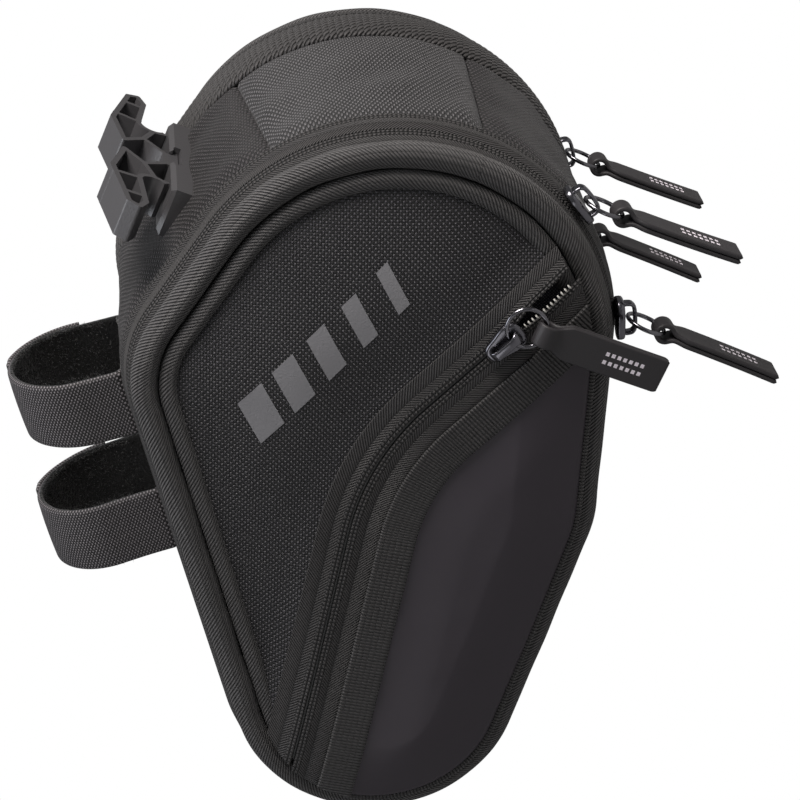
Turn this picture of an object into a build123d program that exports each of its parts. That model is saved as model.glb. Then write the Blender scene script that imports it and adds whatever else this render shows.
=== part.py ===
from build123d import *
import os
from math import acos, atan2, cos, degrees, hypot, radians, sin, tan

# A wedge bag that hangs under a bicycle saddle: one padded gusset, a divider, two zipped lids,
# a slide-off clip for the two saddle rails and two hook-and-loop straps for the seatpost.
# Frame: origin midway between the saddle rails at the clip, +X rearward, +Z up, front lid faces -Y.
# Millimetres. "Depth" is a distance out from a seam plane, away from the middle of the bag, and
# "offset" is a distance out from the side outline.

# ---- side outline: four circles joined by their outer tangents, (x, z, radius) ----
CROWN_Z = -3.5            # highest point of the outline
REAR_R = 62.5
REAR_DROP = 5.5           # top of the rear circle under the crown
TOP_R = 0.576 * REAR_R    # the other circles grow with the rear one, so the outline stays convex
REAR_ARC = (-4.0, CROWN_Z - REAR_DROP - REAR_R, REAR_R)
TOP_ARC = (-26.0, CROWN_Z - TOP_R, TOP_R)
NOSE_ARC = (-1.616 * REAR_R, CROWN_Z - 1.664 * REAR_R, 0.712 * REAR_R)
BELLY_ARC = (-0.656 * REAR_R, CROWN_Z - 1.504 * REAR_R, 0.808 * REAR_R)
OUTLINE_ARCS = [REAR_ARC, TOP_ARC, NOSE_ARC, BELLY_ARC]
OUTLINE_HUB = (-0.64 * REAR_R, CROWN_Z - 1.176 * REAR_R)

# ---- gusset ----
SEAM_HALF = 47.0          # seam planes stand at y = -47 and +47
TAPE_TURN_IN = 2.0        # the body tape starts this far inside the seam plane
RIBBED_BAND = 17.0        # ribbed band along the back edge of the gusset
GUSSET_SINK = 2.0         # the fabric sits this far inside the outline
GUSSET_WALL = 2.5
BAND_PROUD = 1.5          # the ribbed band stands this far out from the fabric
GUSSET_CUTS = {
    "gusset_rear": (0.0, 38.0),
    "gusset_top": (38.0, 97.0),
    "gusset_flank": (97.0, 176.0),
    "gusset_nose": (176.0, 235.0),
    "gusset_belly": (235.0, 360.0),
}
DIVIDER = 2.0

# ---- zips round the lids ----
TAPE = 1.0
TAPE_SINK = 1.9
ZIP_DEPTH = 5.0           # the coil's line, out from the seam plane
ZIP_GAP = 0.3             # between the two halves of the coil
COIL_W = 1.1
COIL_T = 1.3
LID_TAPE_END = 9.0

# ---- lids ----
ROLL_W = 6.6              # moulded rim roll
ROLL_H = 6.5
INNER_ROLL_W = 4.0
INNER_ROLL_H = 4.0
LID_BACKING = 3.0
FACE_H = 9.0              # height of the domed face over its backing
FACE_TAPER = 30.0
BACK_FACE_H = 6.0

# ---- pocket on the front lid; its zip is two straight runs and one bend ----
POCKET_NOSE = (-133.0, -93.6)
POCKET_CORNER = (-33.0, -74.5)
POCKET_REAR = (38.0, -107.0)
POCKET_BEND = 70.0
POCKET_TAPE = 8.5
POCKET_BINDING = 10.0
POCKET_BACKING = 3.0
FLAP = 1.2
BINDING = 1.8
POCKET_COIL = 1.4

# ---- rail clip and its shoe ----
RAIL_R = 3.5
RAIL_FIT = 0.1
RAIL_HALF = 23.0          # half of the distance between the rails
RAIL_RISE = 4.5           # rail centre over the top of the shoe
CLIP_L = 10.5
CLIP_WALL = 1.6
CLIP_RUN = 0.3            # between the clip and the shoe
FOOT_NECK = 9.0
FOOT_HEAD = 13.0
FOOT_HEAD_T = 1.5
FOOT_NECK_T = 1.2
SHOE_L = 14.0
PLATE_EDGE = 0.5          # shoe, anchors and backing plate end this far from the ribbed band
SHOE_BEVEL = 1.2
BACKING_T = 2.0
SCREW_R = 1.5
SCREW_HEAD_R = 2.9
SCREW_HEAD_T = 1.6
SCREW_Y = 17.0
SCREW_FIT = 0.06
SCREW_BITE = 1.0          # how far a screw reaches up into the shoe

# ---- seatpost straps ----
STRAP_W = 20.0
STRAP_T = 2.2
STRAP_R = 19.0            # inside of the loop
STRAP_REACH = {"upper": 36.0, "lower": 40.0}   # from the outline to the far side of the loop
STRAP_AT = {"upper": 13.5, "lower": 52.0}      # along the flank from its top end
ANCHOR_L = 26.0
TAB_T = 1.6
TAB_SPREAD = 75.0         # degrees that the hook tab covers

# ---- sliders, rings and pulls ----
SLIDER_L = 12.0
SLIDER_W = 8.5
SLIDER_T = 2.2
SLIDER_LIFT = 0.4
BRIDGE_W = 2.4
BRIDGE_T = 1.1
BRIDGE_L = 9.0
RING_WIRE = 1.2
RING_R = 5.4
RING_CLEAR = 0.35         # between the ring's wire and the slider
POCKET_RING_SHIFT = 2.0   # how far the pocket's ring has slid along its bridge
PULL_L = 35.0
PULL_W = 10.0
PULL_T = 2.8
PULL_NECK_W = 5.0
PULL_NECK_L = 11.0
PULL_EYE_R = 1.9
PULL_EYE_WALL = 1.3
LANE_SLIDERS = {"front_upper": ("front", -30.0), "front_lower": ("front", -63.0),
                "back_upper": ("back", -54.0)}
BELLY_SLIDER_AT = 5.0     # along the straight belly run from its rear end
POCKET_SLIDER_AT = 50.0   # along the straight rear run of the pocket zip, from its corner
FAR = 400.0


# ---------------------------------------------------------------- outline helpers
def tangent_angle(first, second):
    """Direction, in degrees, of the outward normal of the outer tangent from one circle to the next."""
    dx = second[0] - first[0]
    dz = second[1] - first[1]
    return degrees(atan2(dz, dx)) - degrees(acos((first[2] - second[2]) / hypot(dx, dz)))


def on_arc(arc, angle, offset=0.0):
    """Point of an outline circle at an angle, offset outwards."""
    reach = arc[2] + offset
    return (arc[0] + reach * cos(radians(angle)), arc[1] + reach * sin(radians(angle)))


def outline(offset=0.0):
    """Face inside the side outline, offset outwards, drawn with x to the right and z upwards."""
    count = len(OUTLINE_ARCS)
    turns = [tangent_angle(OUTLINE_ARCS[i], OUTLINE_ARCS[(i + 1) % count]) for i in range(count)]
    edges = []
    for i, arc in enumerate(OUTLINE_ARCS):
        after = OUTLINE_ARCS[(i + 1) % count]
        sweep = (turns[i] - turns[i - 1]) % 360.0
        edges.append(CenterArc((arc[0], arc[1]), arc[2] + offset, turns[i - 1], sweep))
        edges.append(Line(on_arc(arc, turns[i], offset), on_arc(after, turns[i], offset)))
    return make_face(edges)


def rim(outer, inner):
    """Band between two offsets of the outline."""
    return outline(outer) - outline(inner)


def slab(face, y_low, y_high):
    """A face drawn in x and z, made solid between two values of y."""
    stand = Plane(origin=(0, y_high, 0), x_dir=(1, 0, 0), z_dir=(0, -1, 0))
    return stand * extrude(face, y_high - y_low)


def side_slab(side, face, depth_low, depth_high):
    """A slab between two depths out from the front or the back seam plane."""
    if side == "front":
        return slab(face, -SEAM_HALF - depth_high, -SEAM_HALF - depth_low)
    return slab(face, SEAM_HALF + depth_low, SEAM_HALF + depth_high)


def sector(start, end):
    """Wedge from the middle of the outline between two directions, in degrees."""
    steps = 4
    points = [OUTLINE_HUB]
    for i in range(steps + 1):
        angle = radians(start + (end - start) * i / steps)
        points.append((OUTLINE_HUB[0] + FAR * cos(angle), OUTLINE_HUB[1] + FAR * sin(angle)))
    return make_face(Polyline(*points, close=True))


# ---------------------------------------------------------------- gusset and divider
INSIDE = -GUSSET_SINK - GUSSET_WALL
PANEL_BACK = SEAM_HALF - TAPE_TURN_IN - RIBBED_BAND
PLATE_HALF = PANEL_BACK - PLATE_EDGE


def gusset_parts():
    """Five sewn panels, the ribbed band at the back and the divider inside."""
    front = -SEAM_HALF + TAPE_TURN_IN
    back = SEAM_HALF - TAPE_TURN_IN
    walls = rim(-GUSSET_SINK, INSIDE)
    parts = {}
    for name, (start, end) in GUSSET_CUTS.items():
        parts[name] = slab(walls & sector(start, end), front, PANEL_BACK)
    parts["gusset_top"] = parts["gusset_top"] - screw_holes()
    parts["gusset_band"] = slab(rim(-GUSSET_SINK + BAND_PROUD, INSIDE), PANEL_BACK, back)
    divider = slab(outline(INSIDE), -DIVIDER / 2, DIVIDER / 2)
    parts["divider_panel"] = divider - backing_blank(-DIVIDER, DIVIDER)
    return parts


# ---------------------------------------------------------------- zips round the lids
def zip_parts(side):
    """Body half and lid half of one zip: tape outside, coil inside."""
    body_edge = ZIP_DEPTH - ZIP_GAP / 2
    lid_edge = ZIP_DEPTH + ZIP_GAP / 2
    tape = rim(-TAPE_SINK, -TAPE_SINK - TAPE)
    coil = rim(-TAPE_SINK - TAPE, -TAPE_SINK - TAPE - COIL_T)
    return {
        side + "_body_tape": side_slab(side, tape, -TAPE_TURN_IN, body_edge),
        side + "_body_coil": side_slab(side, coil, body_edge - COIL_W, body_edge),
        side + "_lid_tape": side_slab(side, tape, lid_edge, LID_TAPE_END),
        side + "_lid_coil": side_slab(side, coil, lid_edge, lid_edge + COIL_W),
    }


# ---------------------------------------------------------------- lids
ROLL_OUT = -TAPE_SINK - TAPE
ROLL_IN = ROLL_OUT - ROLL_W
INNER_ROLL_IN = ROLL_IN - INNER_ROLL_W
BACKING_TOP = LID_TAPE_END + 1.0
BACKING_LOW = BACKING_TOP - LID_BACKING
FACE_TOP = BACKING_TOP + FACE_H


def face_dome(side, height):
    """Domed face fabric over foam: the outline drawn in as it rises."""
    stand = Plane(origin=(0, -SEAM_HALF - BACKING_TOP, 0), x_dir=(1, 0, 0), z_dir=(0, -1, 0))
    dome = stand * extrude(outline(INNER_ROLL_IN), height, taper=FACE_TAPER)
    return dome if side == "front" else mirror(dome, about=Plane.XZ)


def lid_parts(side):
    """Rim roll, inner roll and stiff backing that both lids share."""
    roll_top = LID_TAPE_END + ROLL_H
    return {
        side + "_rim_roll": side_slab(side, rim(ROLL_OUT, ROLL_IN), LID_TAPE_END, roll_top)
        + side_slab(side, rim(-TAPE_SINK, ROLL_IN), LID_TAPE_END, LID_TAPE_END + TAPE),
        side + "_lid_backing": side_slab(side, outline(ROLL_IN), BACKING_LOW, BACKING_TOP),
    }


def pocket_line(drop):
    """Everything under the pocket zip's line, moved down square to the line by a drop."""
    rise = atan2(POCKET_CORNER[1] - POCKET_NOSE[1], POCKET_CORNER[0] - POCKET_NOSE[0])
    fall = atan2(POCKET_REAR[1] - POCKET_CORNER[1], POCKET_REAR[0] - POCKET_CORNER[0])
    middle = (rise + fall) / 2
    shift = drop / cos((rise - fall) / 2)
    corner = (POCKET_CORNER[0] + shift * sin(middle), POCKET_CORNER[1] - shift * cos(middle))
    left = (corner[0] - FAR * cos(rise), corner[1] - FAR * sin(rise))
    right = (corner[0] + FAR * cos(fall), corner[1] + FAR * sin(fall))
    bottom_right = (right[0], -2 * FAR)
    bottom_left = (left[0], -2 * FAR)
    face = make_face(Polyline(corner, right, bottom_right, bottom_left, left, close=True))
    bend = face.vertices().sort_by_distance(Vector(corner[0], corner[1], 0))[0]
    return fillet(bend, POCKET_BEND - drop)


def pocket_parts():
    """Face above the zip, and under it the pocket: backing, side wall, tapes, binding and front panel."""
    half_gap = ZIP_GAP / 2
    pocket = pocket_line(0)
    inner_ring = rim(ROLL_IN, INNER_ROLL_IN)
    front = outline(ROLL_IN)
    upper_band = pocket_line(-POCKET_TAPE) - pocket_line(-half_gap)
    lower_band = pocket_line(half_gap) - pocket_line(POCKET_TAPE)
    binding_band = pocket_line(POCKET_TAPE) - pocket_line(POCKET_TAPE + POCKET_BINDING)
    coil_band = pocket_line(half_gap) - pocket_line(half_gap + POCKET_COIL)
    tape_area = outline(INNER_ROLL_IN - FACE_H * tan(radians(FACE_TAPER)))
    above_pocket = slab(outline(ROLL_IN) - pocket, -SEAM_HALF - FACE_TOP, -SEAM_HALF - BACKING_TOP)
    panel = front & pocket_line(POCKET_TAPE + POCKET_BINDING)
    roof = FACE_TOP + FLAP
    return {
        "front_inner_roll": side_slab("front", inner_ring - pocket, BACKING_TOP,
                                      BACKING_TOP + INNER_ROLL_H),
        "front_face": face_dome("front", FACE_H) & above_pocket,
        "pocket_backing": side_slab("front", outline(INNER_ROLL_IN) & pocket, BACKING_TOP,
                                    BACKING_TOP + POCKET_BACKING),
        "pocket_wall": side_slab("front", inner_ring & pocket, BACKING_TOP, FACE_TOP),
        "pocket_upper_tape": side_slab("front", tape_area & upper_band, FACE_TOP, roof),
        "pocket_lower_tape": side_slab("front", front & lower_band, FACE_TOP, roof),
        "pocket_binding": side_slab("front", front & binding_band, FACE_TOP, FACE_TOP + BINDING),
        "pocket_panel": side_slab("front", panel, FACE_TOP, roof),
        "pocket_coil": side_slab("front", tape_area & coil_band, FACE_TOP - POCKET_COIL, FACE_TOP),
    }


def back_face_parts():
    """Plain domed face of the back lid."""
    inner_ring = rim(ROLL_IN, INNER_ROLL_IN)
    return {
        "back_inner_roll": side_slab("back", inner_ring, BACKING_TOP, BACKING_TOP + INNER_ROLL_H),
        "back_face": face_dome("back", BACK_FACE_H),
    }


# ---------------------------------------------------------------- rail clip and shoe
SHOE_TOP = -RAIL_RISE
CROWN_ANGLE = tangent_angle(REAR_ARC, TOP_ARC)


def crown_plane():
    """Plane on the straight run of the outline under the clip: z out of the bag, y across it."""
    x, z = on_arc(REAR_ARC, CROWN_ANGLE)
    way = (-sin(radians(CROWN_ANGLE)), cos(radians(CROWN_ANGLE)))
    along = -x / way[0]
    out = (cos(radians(CROWN_ANGLE)), 0, sin(radians(CROWN_ANGLE)))
    return Plane(origin=(0, 0, z + along * way[1]), x_dir=(way[0], 0, way[1]), z_dir=out)


def screw_places():
    """The screws stand in one row across the bag, square to the fabric."""
    return [crown_plane() * Pos(0, y, 0) for y in (-SCREW_Y, SCREW_Y)]


def upright(radius, low, high):
    """A cylinder between two heights over the outline."""
    return Pos(0, 0, (low + high) / 2) * Cylinder(radius, high - low)


def screw_holes():
    """Clearance for the screws through fabric, plate and shoe."""
    hole = upright(SCREW_R + SCREW_FIT, INSIDE - 2 * BACKING_T, SCREW_BITE - GUSSET_SINK + SCREW_FIT)
    return Part() + [place * hole for place in screw_places()]


def backing_blank(y_low, y_high):
    """The backing plate's body, which follows the inside of the gusset under the shoe."""
    under_shoe = Pos(0, FAR / 2 + REAR_ARC[1]) * Rectangle(SHOE_L, FAR)
    return slab(rim(INSIDE, INSIDE - BACKING_T) & under_shoe, y_low, y_high)


def shoe_parts():
    """Shoe on top of the gusset, backing plate inside it and the screws that join them."""
    low = SHOE_TOP - 3 * (FOOT_NECK_T + FOOT_HEAD_T)
    block = Pos(0, 0, (SHOE_TOP + low) / 2) * Box(SHOE_L, 2 * PLATE_HALF, SHOE_TOP - low)
    block = chamfer(block.edges().group_by(Axis.Z)[-1], SHOE_BEVEL)
    block = block - slab(outline(-GUSSET_SINK), -2 * PLATE_HALF, 2 * PLATE_HALF)
    neck_w = FOOT_NECK + 2 * CLIP_RUN
    head_w = FOOT_HEAD + 2 * CLIP_RUN
    head_low = SHOE_TOP - FOOT_NECK_T - FOOT_HEAD_T - CLIP_RUN
    head_top = SHOE_TOP - FOOT_NECK_T + CLIP_RUN
    slot_l = SHOE_L + 2.0
    neck = Pos(0, 0, (head_low + FAR) / 2) * Box(slot_l, neck_w, FAR - head_low)
    head = Pos(0, 0, (head_low + head_top) / 2) * Box(slot_l, head_w, head_top - head_low)
    plate = backing_blank(-PLATE_HALF, PLATE_HALF)
    holes = screw_holes()
    head_under = INSIDE - BACKING_T
    screw = upright(SCREW_R, head_under, SCREW_BITE - GUSSET_SINK)
    screw = screw + upright(SCREW_HEAD_R, head_under - SCREW_HEAD_T, head_under)
    return {
        "clip_shoe": block - neck - head - holes,
        "shoe_backing": plate - holes,
        "shoe_screws": Compound([place * screw for place in screw_places()]),
    }


def wall_between(start, end, thickness=CLIP_WALL):
    """A thin wall with round ends between two points of the clip's section."""
    dy = end[0] - start[0]
    dn = end[1] - start[1]
    middle = ((start[0] + end[0]) / 2, (start[1] + end[1]) / 2)
    return Pos(*middle) * Rot(0, 0, degrees(atan2(dn, dy))) * SlotCenterToCenter(hypot(dy, dn), thickness)


def rail_jaw():
    """Ring-shaped wall that holds one rail from above and from the inside."""
    bore = RAIL_R + RAIL_FIT
    ring = Circle(bore + CLIP_WALL) - Circle(bore)
    cut = make_face(Polyline((0, 0), (FAR * cos(radians(70)), FAR * sin(radians(70))), (FAR, 0),
                             (FAR, -FAR), (-FAR * 0.75, -FAR), close=True))
    return Pos(RAIL_HALF, RAIL_RISE) * (ring - cut)


def clip_part():
    """Moulded clip: one thin-walled section, drawn with y across and height over the shoe."""
    low = CLIP_RUN + CLIP_WALL / 2
    jaw_mid = RAIL_R + RAIL_FIT + CLIP_WALL / 2
    jaw_side = (RAIL_HALF - jaw_mid, RAIL_RISE)
    jaw_top = (RAIL_HALF, RAIL_RISE + jaw_mid)
    waist = (10.0, 7.4)
    lip = (3.6, 13.2)
    knee = (20.0, 16.6)
    wing_top = (43.0, 12.0)
    wing_tip = (44.6, 9.0)
    wing_low = (40.0, 7.2)
    cell_top = (36.5, 13.3)
    cell_low = (36.0, 7.7)
    heel = (RAIL_HALF - jaw_mid * 0.8, low)
    walls = [(3.8, low), waist], [waist, lip], [lip, knee], [knee, wing_top], [wing_top, wing_tip], \
        [wing_tip, wing_low], [wing_low, jaw_top], [waist, jaw_side], [(24.0, 15.9), jaw_top], \
        [cell_top, cell_low], [heel, (heel[0] - 0.4, RAIL_RISE - 1.6)]
    half = rail_jaw()
    for start, end in walls:
        half = half + wall_between(start, end)
    half = half - Pos(RAIL_HALF, RAIL_RISE) * Circle(RAIL_R + RAIL_FIT)
    section = half + mirror(half, about=Plane.YZ)
    foot_bar = Pos(0, low) * Rectangle(FOOT_NECK, CLIP_WALL)
    section = section + foot_bar
    across = Plane(origin=(-CLIP_L / 2, 0, SHOE_TOP), x_dir=(0, 1, 0), z_dir=(1, 0, 0))
    clip = across * extrude(section, CLIP_L)
    neck = Pos(0, 0, SHOE_TOP + (low - FOOT_NECK_T) / 2) * Box(CLIP_L, FOOT_NECK, FOOT_NECK_T + low)
    head = Pos(0, 0, SHOE_TOP - FOOT_NECK_T - FOOT_HEAD_T / 2) * Box(CLIP_L, FOOT_HEAD, FOOT_HEAD_T)
    return clip + neck + head


# ---------------------------------------------------------------- seatpost straps
FLANK_ANGLE = tangent_angle(TOP_ARC, NOSE_ARC)


def flank_plane(along):
    """Plane on the straight front flank: x down the flank, z out of the bag."""
    start = on_arc(TOP_ARC, FLANK_ANGLE)
    way = (-sin(radians(FLANK_ANGLE)), cos(radians(FLANK_ANGLE)))
    origin = (start[0] + along * way[0], 0, start[1] + along * way[1])
    out = (cos(radians(FLANK_ANGLE)), 0, sin(radians(FLANK_ANGLE)))
    return Plane(origin=origin, x_dir=(way[0], 0, way[1]), z_dir=out)


def loop_face(radius, floor, middle):
    """A circle cut flat at a floor, with straight sides down to it, in y and height."""
    legs = Pos(0, (middle + floor) / 2) * Rectangle(2 * radius, middle - floor)
    arch = Pos(0, middle) * Circle(radius) + legs
    keep = Pos(0, floor + FAR / 2) * Rectangle(FAR, FAR)
    return arch & keep


def strap_parts(name, along):
    """Anchor patch, strap loop and the hook tab that closes it."""
    stand = flank_plane(along)
    middle = STRAP_REACH[name] - STRAP_R - STRAP_T
    turn = Plane(origin=(-STRAP_W / 2, 0, 0), x_dir=(0, 1, 0), z_dir=(1, 0, 0))
    loop = loop_face(STRAP_R + STRAP_T, 0, middle) - loop_face(STRAP_R, STRAP_T, middle)
    tab = Circle(STRAP_R + STRAP_T + TAB_T) - Circle(STRAP_R + STRAP_T)
    far_corner = (FAR * cos(radians(TAB_SPREAD)), FAR * sin(radians(TAB_SPREAD)))
    spread = make_face(Polyline((0, 0), (FAR, 0), far_corner, close=True))
    tab = Pos(0, middle) * (tab & spread)
    anchor = Pos(0, 0, -GUSSET_SINK / 2) * Box(ANCHOR_L, 2 * PLATE_HALF, GUSSET_SINK)
    return {
        "strap_anchor_" + name: stand * anchor,
        "strap_" + name: stand * (turn * extrude(loop, STRAP_W)),
        "strap_tab_" + name: stand * (turn * extrude(tab, STRAP_W)),
    }


# ---------------------------------------------------------------- sliders, rings and pulls
WIRE_HEIGHT = SLIDER_T + RING_CLEAR + RING_WIRE / 2 * 2 ** 0.5
BRIDGE_LOW = WIRE_HEIGHT + RING_CLEAR + RING_WIRE / 2 * 2 ** 0.5


def slider_body():
    """Slider plate with its nose rounded and the bridge for the ring; x along the zip, z out of it."""
    plate = RectangleRounded(SLIDER_L, SLIDER_W, SLIDER_W * 0.3)
    body = extrude(plate, SLIDER_T)
    leg = BRIDGE_LOW + BRIDGE_T - SLIDER_T
    arch = Pos(0, 0, SLIDER_T + leg / 2) * Box(BRIDGE_L, BRIDGE_W, leg)
    window = Pos(0, 0, SLIDER_T + (BRIDGE_LOW - SLIDER_T) / 2) * Box(
        BRIDGE_L - 2 * BRIDGE_T, BRIDGE_W + 1, BRIDGE_LOW - SLIDER_T)
    return body + (arch - window)


def ring_part(origin, wire_dir, hang_dir):
    """Wire ring whose wire crosses under the bridge along wire_dir and which hangs along hang_dir."""
    lie = Plane(origin=origin, x_dir=wire_dir, z_dir=Vector(*wire_dir).cross(Vector(*hang_dir)))
    flat = Circle(RING_R + RING_WIRE / 2) - Circle(RING_R - RING_WIRE / 2)
    return lie * (Pos(0, RING_R, -RING_WIRE / 2) * extrude(flat, RING_WIRE))


def pull_part(origin, across_dir, hang_dir):
    """Folded strap: an eye round the ring's wire, a narrow neck and a wide tail along hang_dir."""
    lie = Plane(origin=origin, x_dir=Vector(*across_dir).cross(Vector(*hang_dir)), z_dir=across_dir)
    lie = lie if lie.y_dir.dot(Vector(*hang_dir)) > 0 else Plane(
        origin=origin, x_dir=-lie.x_dir, z_dir=across_dir)
    eye = Circle(PULL_EYE_R + PULL_EYE_WALL)
    neck = Pos(0, PULL_NECK_L / 2) * Rectangle(PULL_T, PULL_NECK_L)
    section = eye + neck - Circle(PULL_EYE_R)
    slim = Pos(0, 0, -PULL_NECK_W / 2) * extrude(section, PULL_NECK_W)
    tail_l = PULL_L - PULL_NECK_L
    tail = Pos(0, PULL_NECK_L + tail_l / 2, 0) * Box(PULL_T, tail_l, PULL_W)
    return lie * (slim + tail)


def slider_set(name, origin, travel, out, ring_hang, eye_turn, ring_shift=0.0):
    """One slider with its ring and pull. eye_turn is where on the ring the pull hangs, in degrees
    from the side opposite the bridge; ring_shift is where along the bridge its wire crosses. The pull
    always hangs straight down."""
    travel = Vector(*travel)
    out = Vector(*out)
    stand = Plane(origin=origin, x_dir=travel, z_dir=out)
    wire_dir = out.cross(travel)
    hang = Vector(*ring_hang)
    wire_at = Vector(*origin) + out * WIRE_HEIGHT + travel * ring_shift
    centre = wire_at + hang * RING_R
    eye_dir = hang * cos(radians(eye_turn)) + wire_dir * sin(radians(eye_turn))
    across = wire_dir * cos(radians(eye_turn)) - hang * sin(radians(eye_turn))
    down = (0, 0, -1)
    eye_at = centre + eye_dir * RING_R
    return {
        "slider_" + name: stand * slider_body(),
        "ring_" + name: ring_part(tuple(wire_at), tuple(wire_dir), tuple(hang)),
        "pull_" + name: pull_part(tuple(eye_at), tuple(across), down),
    }


def lane_y(side):
    """The y of the coil's line on one side."""
    return -SEAM_HALF - ZIP_DEPTH if side == "front" else SEAM_HALF + ZIP_DEPTH


def lane_slider(name, side, angle):
    """A slider on the rear arc of a lid's zip."""
    x, z = on_arc(REAR_ARC, angle, SLIDER_LIFT - TAPE_SINK)
    out = (cos(radians(angle)), 0, sin(radians(angle)))
    travel = (-sin(radians(angle)), 0, cos(radians(angle)))
    return slider_set(name, (x, lane_y(side), z), travel, out, (0, 0, -1), 0.0)


def belly_slider(name, side, along):
    """A slider on the straight belly run of a lid's zip."""
    angle = tangent_angle(BELLY_ARC, REAR_ARC)
    x, z = on_arc(REAR_ARC, angle, SLIDER_LIFT - TAPE_SINK)
    out = (cos(radians(angle)), 0, sin(radians(angle)))
    travel = (-sin(radians(angle)), 0, cos(radians(angle)))
    place = (x - along * travel[0], lane_y(side), z - along * travel[2])
    return slider_set(name, place, travel, out, (0, 0, -1), 0.0)


def pocket_slider():
    """The slider on the pocket's zip, with its ring along the tape and its pull at the lowest point."""
    fall = atan2(POCKET_REAR[1] - POCKET_CORNER[1], POCKET_REAR[0] - POCKET_CORNER[0])
    travel = (cos(fall), 0, sin(fall))
    x = POCKET_CORNER[0] + POCKET_SLIDER_AT * travel[0]
    z = POCKET_CORNER[1] + POCKET_SLIDER_AT * travel[2]
    y = -SEAM_HALF - FACE_TOP - FLAP - 2 * SLIDER_LIFT
    eye_turn = -90.0 - degrees(fall)
    return slider_set("pocket", (x, y, z), travel, (0, -1, 0), travel, eye_turn, POCKET_RING_SHIFT)


def all_parts():
    """Every piece by its node name."""
    parts = {}
    parts.update(gusset_parts())
    for side in ("front", "back"):
        parts.update(zip_parts(side))
        parts.update(lid_parts(side))
    parts.update(pocket_parts())
    parts.update(back_face_parts())
    parts.update(shoe_parts())
    parts["rail_clip"] = clip_part()
    for name, along in STRAP_AT.items():
        parts.update(strap_parts(name, along))
    for name, (side, angle) in LANE_SLIDERS.items():
        parts.update(lane_slider(name, side, angle))
    parts.update(belly_slider("back_lower", "back", BELLY_SLIDER_AT))
    parts.update(pocket_slider())
    return parts


os.makedirs("parts", exist_ok=True)
for node, shape in all_parts().items():
    export_step(shape, "parts/" + node + ".step")
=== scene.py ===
import math

import bmesh
import bpy
import numpy as np
from mathutils import Matrix, Vector


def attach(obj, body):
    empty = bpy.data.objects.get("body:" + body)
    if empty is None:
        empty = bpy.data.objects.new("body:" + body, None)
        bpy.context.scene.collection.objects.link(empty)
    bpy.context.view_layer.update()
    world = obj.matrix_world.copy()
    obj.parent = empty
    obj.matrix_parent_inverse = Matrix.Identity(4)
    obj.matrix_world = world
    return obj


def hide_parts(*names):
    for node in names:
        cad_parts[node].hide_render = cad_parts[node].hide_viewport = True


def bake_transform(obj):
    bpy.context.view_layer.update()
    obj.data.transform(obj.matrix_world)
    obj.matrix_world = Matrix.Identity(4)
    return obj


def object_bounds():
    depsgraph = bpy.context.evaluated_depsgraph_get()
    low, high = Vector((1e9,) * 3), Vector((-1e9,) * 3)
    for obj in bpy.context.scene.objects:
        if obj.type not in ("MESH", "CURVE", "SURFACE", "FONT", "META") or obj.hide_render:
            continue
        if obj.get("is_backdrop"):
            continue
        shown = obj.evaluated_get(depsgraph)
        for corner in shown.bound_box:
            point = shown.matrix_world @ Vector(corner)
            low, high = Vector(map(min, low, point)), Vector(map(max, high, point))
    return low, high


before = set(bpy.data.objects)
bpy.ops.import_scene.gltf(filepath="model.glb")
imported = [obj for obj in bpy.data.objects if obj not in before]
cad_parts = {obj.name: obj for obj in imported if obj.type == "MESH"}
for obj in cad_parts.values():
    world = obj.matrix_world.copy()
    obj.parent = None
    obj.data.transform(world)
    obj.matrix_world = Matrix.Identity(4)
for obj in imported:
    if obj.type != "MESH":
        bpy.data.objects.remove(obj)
cad_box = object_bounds()

# Lengths are millimetres until a mesh is made. The frame is +X rearward, +Z up, front lid at -Y.
# "off" is a distance out from the side outline, "depth" a distance out from the seam plane.
MM = 0.001
# How far each lid's seam plane lies from the bag's middle.
SEAM = 47.0
REAR_R = 62.5
# Centre (x, z) and radius of the circles that the outline is drawn tight round: rear, top, nose, belly.
CIRCLES = np.array([
    (-4.0, -71.5, REAR_R),
    (-26.0, -39.5, 36.0),
    (-101.0, -107.5, 44.5),
    (-41.0, -97.5, 50.5),
])
# Directions round the bag are taken from the hub. The rings of a whole sheet of cloth shrink to the heart.
HUB = np.array([-40.0, -77.0])
HEART = np.array([-38.0, -80.0])


# ------------------------------------------------------------------ outline
def outline_table():
    """Convex hull of the circles by its support: point = centre + radius * normal of the circle that
    reaches furthest along each normal, then measured along its length."""
    turn = np.radians(np.linspace(0, 360, 14401))
    normal = np.stack([np.cos(turn), np.sin(turn)], 1)
    best = np.argmax(normal @ CIRCLES[:, :2].T + CIRCLES[:, 2], axis=1)
    point = CIRCLES[best, :2] + CIRCLES[best, 2:] * normal
    run = np.r_[0, np.cumsum(np.linalg.norm(np.diff(point, axis=0), axis=1))]
    keep = np.r_[True, np.diff(run) > 1e-9]
    return run[keep], point[keep], normal[keep]


RUN, POINT, NORMAL = outline_table()
ROUND = RUN[-1]


def on_outline(run):
    """Points and outward normals at distances along the outline."""
    run = np.mod(run, ROUND)
    point = np.stack([np.interp(run, RUN, POINT[:, i]) for i in (0, 1)], -1)
    normal = np.stack([np.interp(run, RUN, NORMAL[:, i]) for i in (0, 1)], -1)
    return point, normal / np.linalg.norm(normal, axis=-1, keepdims=True)


def ring(run, off, y):
    """Points at distances along the outline, offset outwards by off, at heights y across the bag."""
    run, off, y = np.broadcast_arrays(run, off, y)
    point, normal = on_outline(run)
    flat = point + off[..., None] * normal
    return np.stack([flat[..., 0], y, flat[..., 1]], -1)


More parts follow.
